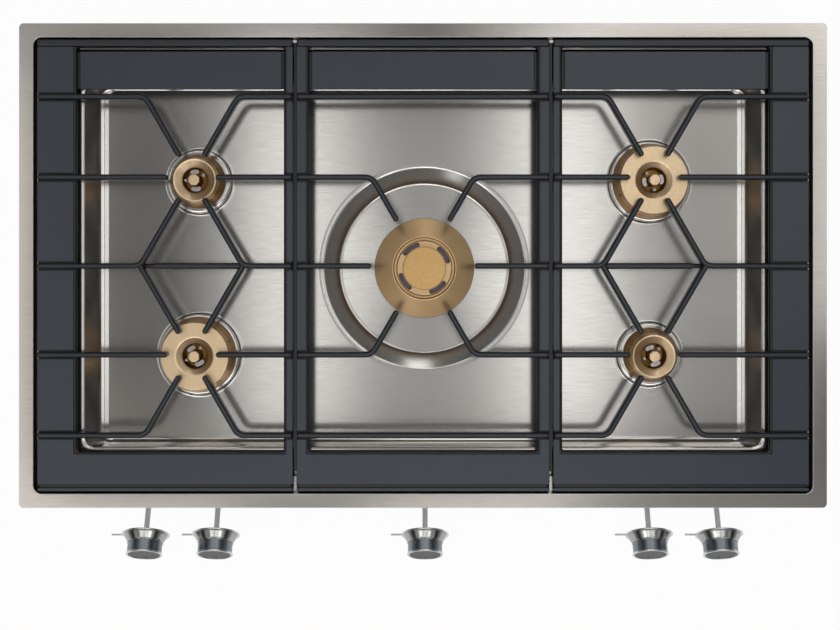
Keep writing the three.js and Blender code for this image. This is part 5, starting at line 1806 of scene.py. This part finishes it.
@dataclass
class Underside:
    """Bracket, rail, pipes, burner box and ignition module.

    Targets give the X, Y and height at which each pipe meets its burner, and the tray's step how
    far forward and how deep its ledge turns down. Pairs are a radius and a length, unless their
    name says otherwise.
    """

    taps: list[TapLine]
    targets: list[Triple]
    play: float = 0.3
    tray_sheet: float = 1.5
    tray_step: Pair = (236.0, 9.0)
    bracket_half: float = 1.0
    bracket_tongue: float = 13.0
    bracket_apron: float = 14.0
    bracket_end: float = 24.0
    screw_gap: float = 15.5
    rail_end: float = 30.0
    rail_radii: Pair = (8.0, 6.0)
    inlet: Pair = (9.6, 27.0)
    inlet_neck: float = 9.0
    thread: Triple = (9.4, 10.3, 0.9)
    thread_start: float = 12.5
    thread_pitch: float = 2.6
    threads: int = 5
    hexagon: Triple = (7.0, 13.0, 9.0)
    pipe_radius: float = 3.0
    pipe_drop: float = -88.0
    pipe_nut: Triple = (2.8, 5.4, 5.2)
    box_half: float = 340.0
    box_front: float = -170.0
    box_corner: float = 14.0
    box_floor: float = -108.0
    box_top: float = -46.8
    box_flange: float = 12.0
    sheet: float = 1.2
    box_screw: Triple = (3.4, -50.2, -48.0)
    box_screw_x: tuple[float, ...] = (-300.0, -100.0, 100.0, 300.0)
    module_half: float = 60.0
    module_depth: float = 32.0
    case_heights: Pair = (-98.0, -76.0)
    lid_heights: Pair = (-76.5, -70.0)
    lid_inset: float = 0.6
    tabs: int = 5
    tab_pitch: float = 22.0
    tab_half: float = 3.0
    tab_run: Pair = (31.0, 31.9)
    tab_heights: Pair = (-92.0, -84.0)

    def bracket(self, paint: bpy.types.Material) -> None:
        """Folds the bracket and sets the screws of the taps in it."""
        tap, half = self.taps[0], self.bracket_half
        tilt, clear = math.radians(tap.tilt), self.tray_sheet + self.play + half
        fold, high = (-edge - clear for edge in self.tray_step)
        web = tap.place @ Vector((0.0, 0.0, tap.face + self.play + half))
        knee = web.z + (fold - web.y) * math.tan(math.pi / 2 - tilt)
        apron = self.bracket_apron
        line = [
            Vector((0.0, fold - self.bracket_tongue, high)),
            Vector((0.0, fold, high)),
            Vector((0.0, fold, knee)),
            Vector((0.0, web.y - apron * math.sin(tilt), web.z - apron * math.cos(tilt))),
        ]
        low, end = self.taps[0].x - self.bracket_end, self.taps[-1].x + self.bracket_end
        section = [(low, half), (end, half), (end, -half), (low, -half)]
        sheet = Blank()
        sheet.sweep(section, self.strip(eased(line, [3.0, 8.0], 4)))
        for one in self.taps:
            lift = one.place @ Matrix.Translation((0, 0, one.face + 1.3))
            for dx in (-self.screw_gap, self.screw_gap):
                screw = Blank()
                profile = eased(flat_path((0, 1), (3.2, 1), (3.2, 2.6), (0, 3.2)), [0.0, 0.8], 3)
                screw.turn(profile, 20, (dx, 0.0))
                sheet.absorb(screw.bm, lift)
        sheet.leave("folded_bracket", Body.HOB.value, Slot.ZINC, ["tap_bracket"], paint)

    def strip(self, line: list[Vector]) -> list[Matrix]:
        """Stations along a fold whose sections lie along X."""
        turned = []
        for one in stations(line, Vector((1.0, 0.0, 0.0))):
            side, rise, along = (one.col[i].to_3d() for i in range(3))
            made = Matrix((rise.normalized(), side, along)).transposed().to_4x4()
            made.translation = one.translation
            turned.append(made)
        return turned

    def gas_rail(self, paint: bpy.types.Material) -> None:
        """Turns the gas rail with its plug and its threaded inlet."""
        tap = self.taps[0]
        start, end = self.taps[0].x - self.rail_end, self.taps[-1].x + self.rail_end
        (radius, bore), (inlet, inlet_length) = self.rail_radii, self.inlet
        tip = end + inlet_length
        profile = flat_path(
            (0, start), (radius, start), (radius, end), (inlet, end + self.inlet_neck),
            (inlet, tip - 1), (inlet - 0.8, tip), (bore, tip), (bore, end), (0, end),
        )
        tube = Blank()
        tube.turn(profile, 48)
        root, crest, half = self.thread
        for i in range(self.threads):
            low = end + self.thread_start + self.thread_pitch * i
            tube.turn(flat_path((root, low - half), (crest, low), (root, low + half)), 48)
        nut = Blank()
        near, far, length = self.hexagon
        for low in (start - length, end):
            high = low + length
            nut.turn(flat_path((near, low), (far, low), (far, high), (near, high)), 6)
        low = start - length
        nut.turn(flat_path((0.0, low), (radius, low), (radius, start), (0.0, start)), 32)
        nut.soften(0.8, 2, 50.0)
        tube.absorb(nut.bm, Matrix.Rotation(math.pi / 6, 4, "Z"))
        turn = Matrix.Rotation(math.pi / 2, 4, "Y")
        place = Matrix.Translation((0.0, tap.middle.y, tap.rail_drop)) @ turn
        tube.leave("gas_rail_tube", Body.HOB.value, Slot.ZINC, ["gas_rail"], paint, place)

    def pipe(self, tap: TapLine, target: Triple, paint: bpy.types.Material) -> None:
        """Bends a pipe from a tap to its burner.

        Args:
            tap: The tap.
            target: X, Y and height of the burner's inlet.
            paint: Finish of the pipe.
        """
        x, y, height = target
        inward = tap.place.to_3x3() @ Vector((0.0, 0.0, -1.0))
        out = tap.place @ Vector((0.0, 0.0, tap.face - tap.length - 9.3))
        gate = Vector(((tap.x + x) / 2, self.box_front, self.pipe_drop))
        end = Vector((x, y - 7.3, height))
        path = [
            out, out + inward * 12, gate, Vector((x, end.y - 27, self.pipe_drop)),
            end + Vector((0.0, -9.0, 0.0)), end,
        ]
        line = eased(path, [10.0, 14.0, 24.0, 6.0], 8)
        upright = Vector((0.3, 0.1, 1.0)).normalized()
        tube = Blank()
        tube.sweep(circle_points(self.pipe_radius, 20), stations(line, upright))
        near, far, length = self.pipe_nut
        low, high = 0.4, 0.4 + length
        for point, turn in ((out, inward), (end - Vector((0, 6, 0)), Vector((0.0, 1.0, 0.0)))):
            nut = Blank()
            nut.turn(flat_path((near, low), (far, low), (far, high), (near, high)), 6)
            nut.soften(0.4, 2, 50.0)
            along = turn.to_track_quat("Z", "X").to_matrix().to_4x4()
            tube.absorb(nut.bm, Matrix.Translation(point) @ along)
        node = f"gas_pipe_{tap.number}"
        tube.leave(f"bent_pipe_{tap.number}", Body.HOB.value, Slot.PIPE, [node], paint)

    def loop(self, grow: float, height: float) -> Vector:
        """One loop of the box, larger by a margin than its outside."""
        half, front = self.box_half + grow, self.box_front - grow
        return Vector((-half, half, front, -front, max(self.box_corner + grow, 3.0), height))

    def box(self, paint: bpy.types.Material) -> None:
        """Presses the open burner box with its flange."""
        low, high, thick = self.box_floor, self.box_top, self.sheet
        flange, inward = self.box_flange, -self.box_corner
        outside = [
            self.loop(inward, low), self.loop(0.0, low), self.loop(0.0, high - thick),
            self.loop(flange, high - thick), self.loop(flange, high), self.loop(-thick, high),
            self.loop(-thick, low + thick), self.loop(inward, low + thick),
        ]
        blank = Blank()
        loops = blank.skin(eased(outside, [5.0, 2.0, 0.0, 0.0, 2.5, 4.0], 4), 8)
        for loop in (loops[0], loops[-1]):
            blank.fill([edge for edge in loop if edge.is_valid])
        blank.leave("pressed_box", Body.HOB.value, Slot.ZINC, ["burner_box"], paint)
        self.trim(paint)

    def trim(self, paint: bpy.types.Material) -> None:
        """Sets the screws along the flange of the box."""
        radius, low, high = self.box_screw
        profile = eased(flat_path((0, low), (radius, low), (radius, high), (0, high)), [1.0, 0.0], 3)
        edge = self.box_flange / 2 - self.box_front
        blank = Blank()
        for x in self.box_screw_x:
            for y in (-edge, edge):
                blank.turn(profile, 20, (x, y))
        blank.leave("box_screws", Body.HOB.value, Slot.ZINC, [], paint)

    def slab(self, half: float, back: float, run: Pair, middle: float = 0.0) -> list[Pair]:
        """Outline of a block of the module, by its half width and its run behind the box."""
        near, far = (back + one for one in run)
        return [(middle - half, near), (middle + half, near), (middle + half, far), (middle - half, far)]

    def module(self, paint: bpy.types.Material) -> None:
        """Moulds the case of the ignition module, its lid and the tabs along the case."""
        half, depth, inset = self.module_half, self.module_depth, self.lid_inset
        back = self.play - self.box_front
        blank = Blank()
        blank.pad(self.slab(half, back, (0.0, depth)), *self.case_heights, 3.0, 0.6)
        blank.pad(self.slab(half - inset, back, (inset, depth - inset)), *self.lid_heights, 3.0, 1.5)
        for i in range(self.tabs):
            middle = self.tab_pitch * (i - (self.tabs - 1) / 2)
            blank.pad(self.slab(self.tab_half, back, self.tab_run, middle), *self.tab_heights, 0.2, 0.1)
        blank.leave("module_case", Body.HOB.value, Slot.MODULE, ["ignition_module"], paint)

    def build(self, paints: dict[str, bpy.types.Material]) -> None:
        """Makes all the pieces under the tray."""
        self.bracket(paints["zinc"])
        self.gas_rail(paints["zinc"])
        for tap, target in zip(self.taps, self.targets):
            self.pipe(tap, target, paints["pipe"])
        self.box(paints["zinc"])
        self.module(paints["module"])


# ---------------------------------------------------------------- studio


# Inputs of a Mix node that mixes numbers; their names are shared by its other inputs.
MIX_LOW = 2
MIX_HIGH = 3

WARM = (1.0, 0.955, 0.905)


@dataclass
class Softbox:
    """A large soft lamp over the cooktop, in metres and degrees."""

    name: str
    place: Triple
    size: Pair
    level: float
    turn: Triple = (0.0, 0.0, 0.0)
    tint: Colour = (1.0, 1.0, 1.0)

    def build(self) -> None:
        """Hangs the lamp, whose face is as bright as its level says."""
        light = bpy.data.lights.new(self.name, "AREA")
        light.shape = "RECTANGLE"
        light.size, light.size_y = self.size
        light.energy = math.pi * self.size[0] * self.size[1] * self.level
        light.color = self.tint
        lamp = bpy.data.objects.new(self.name, light)
        lamp.location = self.place
        lamp.rotation_euler = [math.radians(one) for one in self.turn]
        bpy.context.scene.collection.objects.link(lamp)


@dataclass
class Studio:
    """Camera, floor, room and lamps, in metres.

    The room's pairs are the rise of a direction, from level to upright, and its light there.
    """

    camera_height: float = 1.45
    lens: float = 55.8
    shift: Pair = (-0.0036, -0.0589)
    floor_half: float = 6.0
    floor_drop: float = 0.0006
    floor_shade: float = 0.86
    floor_roughness: float = 0.9
    floor_glow: float = 0.96
    room: tuple[Pair, ...] = (
        (0.0, 0.34), (0.22, 0.34), (0.27, 0.03), (0.56, 0.03),
        (0.62, 0.68), (0.7, 0.54), (0.78, 0.3), (0.95, 0.04),
    )
    lamps: list[Softbox] = field(
        default_factory=lambda: [
            Softbox("strip_left", (-0.345, 0.03, 2.0), (0.27, 1.0), 1.5),
            Softbox("strip_right", (0.36, 0.03, 2.0), (0.27, 1.0), 1.7),
            Softbox("centre_fill", (0.0, 0.0, 2.01), (0.44, 0.9), 0.28),
            Softbox("right_fill", (0.75, 0.0, 2.01), (0.52, 0.96), 0.32),
            Softbox("wing_left", (-1.25, -0.12, 2.0), (0.54, 1.3), 1.1, tint=WARM),
            Softbox("wing_right", (1.24, 0.3, 2.0), (0.54, 0.92), 1.05, tint=WARM),
            Softbox("back_right", (0.64, 0.8, 2.0), (0.6, 0.5), 0.78, tint=WARM),
            Softbox("back_wide", (0.66, 0.8, 2.01), (1.1, 0.5), 0.48, tint=WARM),
            Softbox("back_left", (-0.62, 0.8, 2.0), (1.1, 0.5), 0.42, tint=WARM),
            Softbox("front_wide", (0.0, -0.8, 2.01), (2.3, 0.5), 0.21, tint=WARM),
            Softbox("front_left", (-0.84, -0.8, 2.0), (0.72, 0.5), 0.66, tint=WARM),
            Softbox("front_middle", (0.13, -0.8, 2.0), (0.52, 0.5), 0.82, tint=WARM),
            Softbox("cones_left", (-0.72, -1.3, 2.0), (0.7, 0.5), 3.6),
            Softbox("cones_middle", (-0.06, -1.3, 2.0), (0.42, 0.5), 3.6),
            Softbox("cones_right", (0.66, -1.3, 2.0), (0.66, 0.5), 3.6),
            Softbox("grips_left", (-0.7, 1.5, 2.0), (0.7, 0.3), 2.0),
            Softbox("grips_middle", (-0.02, 1.5, 2.0), (0.4, 0.3), 2.0),
            Softbox("grips_right", (0.68, 1.5, 2.0), (0.7, 0.3), 2.0),
            Softbox("front_far", (-0.9, -2.8, 2.0), (0.5, 0.9), 1.0, (54.0, 0.0, 0.0)),
            Softbox("back_far", (0.2, 2.85, 2.0), (0.7, 0.9), 1.5, (-54.0, 0.0, 0.0)),
        ]
    )

    def camera(self) -> None:
        """Hangs the camera straight over the cooktop."""
        data = bpy.data.cameras.new("overhead_camera")
        data.lens = self.lens
        data.shift_x, data.shift_y = self.shift
        camera = bpy.data.objects.new("overhead_camera", data)
        camera.location = (0.0, 0.0, RIM_HEIGHT + self.camera_height)
        bpy.context.scene.collection.objects.link(camera)
        bpy.context.scene.camera = camera

    def floor(self) -> None:
        """Lays a white floor that keeps a soft shadow."""
        plane = bmesh.new()
        bmesh.ops.create_grid(plane, x_segments=1, y_segments=1, size=self.floor_half)
        bmesh.ops.translate(plane, verts=plane.verts[:], vec=(0.0, 0.0, -self.floor_drop))
        mesh = bpy.data.meshes.new("studio_floor")
        plane.to_mesh(mesh)
        plane.free()
        mesh.materials.append(self.floor_paint())
        floor = bpy.data.objects.new("studio_floor", mesh)
        bpy.context.scene.collection.objects.link(floor)

    def floor_paint(self) -> bpy.types.Material:
        """Makes the floor's finish: white to the camera and in reflections, pale to the light."""
        material = bpy.data.materials.new("white_floor")
        material.use_nodes = True
        shades = Shades(material.node_tree)
        diffuse = material.node_tree.nodes["Principled BSDF"]
        diffuse.inputs["Base Color"].default_value = (*[self.floor_shade] * 3, 1.0)
        diffuse.inputs["Roughness"].default_value = self.floor_roughness
        diffuse.inputs["Specular IOR Level"].default_value = 0.0
        glow = shades.node("ShaderNodeEmission", {"Strength": 1.0})
        seen = shades.node("ShaderNodeLightPath").outputs
        direct = shades.maths("MAXIMUM", seen["Is Camera Ray"], seen["Is Glossy Ray"])
        shown = shades.maths("MAXIMUM", direct, seen["Is Transmission Ray"])
        mix = shades.node("ShaderNodeMixShader")
        shades.wire(shades.maths("MULTIPLY", shown, self.floor_glow), mix.inputs[0])
        shades.wire(diffuse.outputs[0], mix.inputs[1])
        shades.wire(glow.outputs[0], mix.inputs[2])
        output = material.node_tree.nodes["Material Output"]
        shades.wire(mix.outputs[0], output.inputs["Surface"])
        return material

    def air(self) -> None:
        """Fills the room with light that is pale at the horizon; the camera sees it white."""
        world = bpy.data.worlds.new("studio_room")
        world.use_nodes = True
        bpy.context.scene.world = world
        shades = Shades(world.node_tree)
        heading = shades.node("ShaderNodeTexCoord").outputs["Generated"]
        ramp = shades.node("ShaderNodeValToRGB")
        shades.wire(shades.split(heading)[2], ramp.inputs[0])
        steps = ramp.color_ramp.elements
        while len(steps) < len(self.room):
            steps.new(1.0)
        for step, (rise, level) in zip(steps, self.room):
            step.position = rise
            step.color = (level, level, level, 1.0)
        mix = shades.node("ShaderNodeMix")
        shades.wire(shades.node("ShaderNodeLightPath").outputs["Is Camera Ray"], mix.inputs[0])
        shades.wire(ramp.outputs[0], mix.inputs[MIX_LOW])
        mix.inputs[MIX_HIGH].default_value = 1.0
        background = world.node_tree.nodes["Background"]
        background.inputs["Color"].default_value = (1.0, 1.0, 1.0, 1.0)
        shades.wire(mix.outputs[0], background.inputs["Strength"])

    def build(self) -> None:
        """Sets up the studio."""
        bpy.context.scene.view_settings.view_transform = "Standard"
        self.camera()
        self.floor()
        self.air()
        for lamp in self.lamps:
            lamp.build()


# ---------------------------------------------------------------- the cooktop


# Size and direction of the igniter, in degrees, of each side burner.
SIDE_BURNERS = {
    "rear_left": (SMALL, 35.0), "front_left": (LARGE, 60.0), "rear_right": (LARGE, 130.0),
    "front_right": (SMALL, 50.0),
}

# X of the knobs, from left to right.
KNOB_PLACES = (-315.3, -235.5, 2.3, 257.2, 337.0)

# Heights at which the gas pipes meet a side burner and the wok burner.
SIDE_INLET = -65.0
WOK_INLET = -74.5

# Low and high X of a pan support, and the widths of its frame there; the left one is mirrored.
SIDE_FRAME = (145.0, 430.0, 10.5, 44.0)
CENTRE_FRAME = (-141.0, 141.0, 14.0, 14.0)


def main() -> None:
    """Builds the studio and the cooktop."""
    logging.basicConfig(level=logging.INFO, format="%(message)s")
    Studio().build()
    effects = Effects()
    paints = {name: finish.paint(effects) for name, finish in FINISHES.items()}

    burners = {
        name: SideBurner(name, plan_middle(f"burner_ring_{name}"), size, igniter)
        for name, (size, igniter) in SIDE_BURNERS.items()
    }
    wok = WokBurner(plan_middle("wok_outer_ring"))
    tray = Tray(wok.centre, {name: (*one.centre, one.size.collar) for name, one in burners.items()})
    tray.build(paints["tray"])
    tray.seal(paints["seal"])
    for burner in burners.values():
        burner.build(paints)
    wok.build(paints)

    SideSupport(Body.SUPPORT_LEFT, *SIDE_FRAME).build(paints["enamel"])
    CentreSupport(Body.SUPPORT_CENTRE, *CENTRE_FRAME).build(paints["enamel"])
    SideSupport(Body.SUPPORT_RIGHT, *SIDE_FRAME).build(paints["enamel"])

    taps = [TapLine(number, x) for number, x in enumerate(KNOB_PLACES, 1)]
    for tap in taps:
        tap.build(paints)
    targets = [
        (*burners["rear_left"].centre, SIDE_INLET),
        (*burners["front_left"].centre, SIDE_INLET),
        (*wok.centre, WOK_INLET),
        (*burners["front_right"].centre, SIDE_INLET),
        (*burners["rear_right"].centre, SIDE_INLET),
    ]
    Underside(taps, targets).build(paints)


if __name__ == "__main__":
    main()
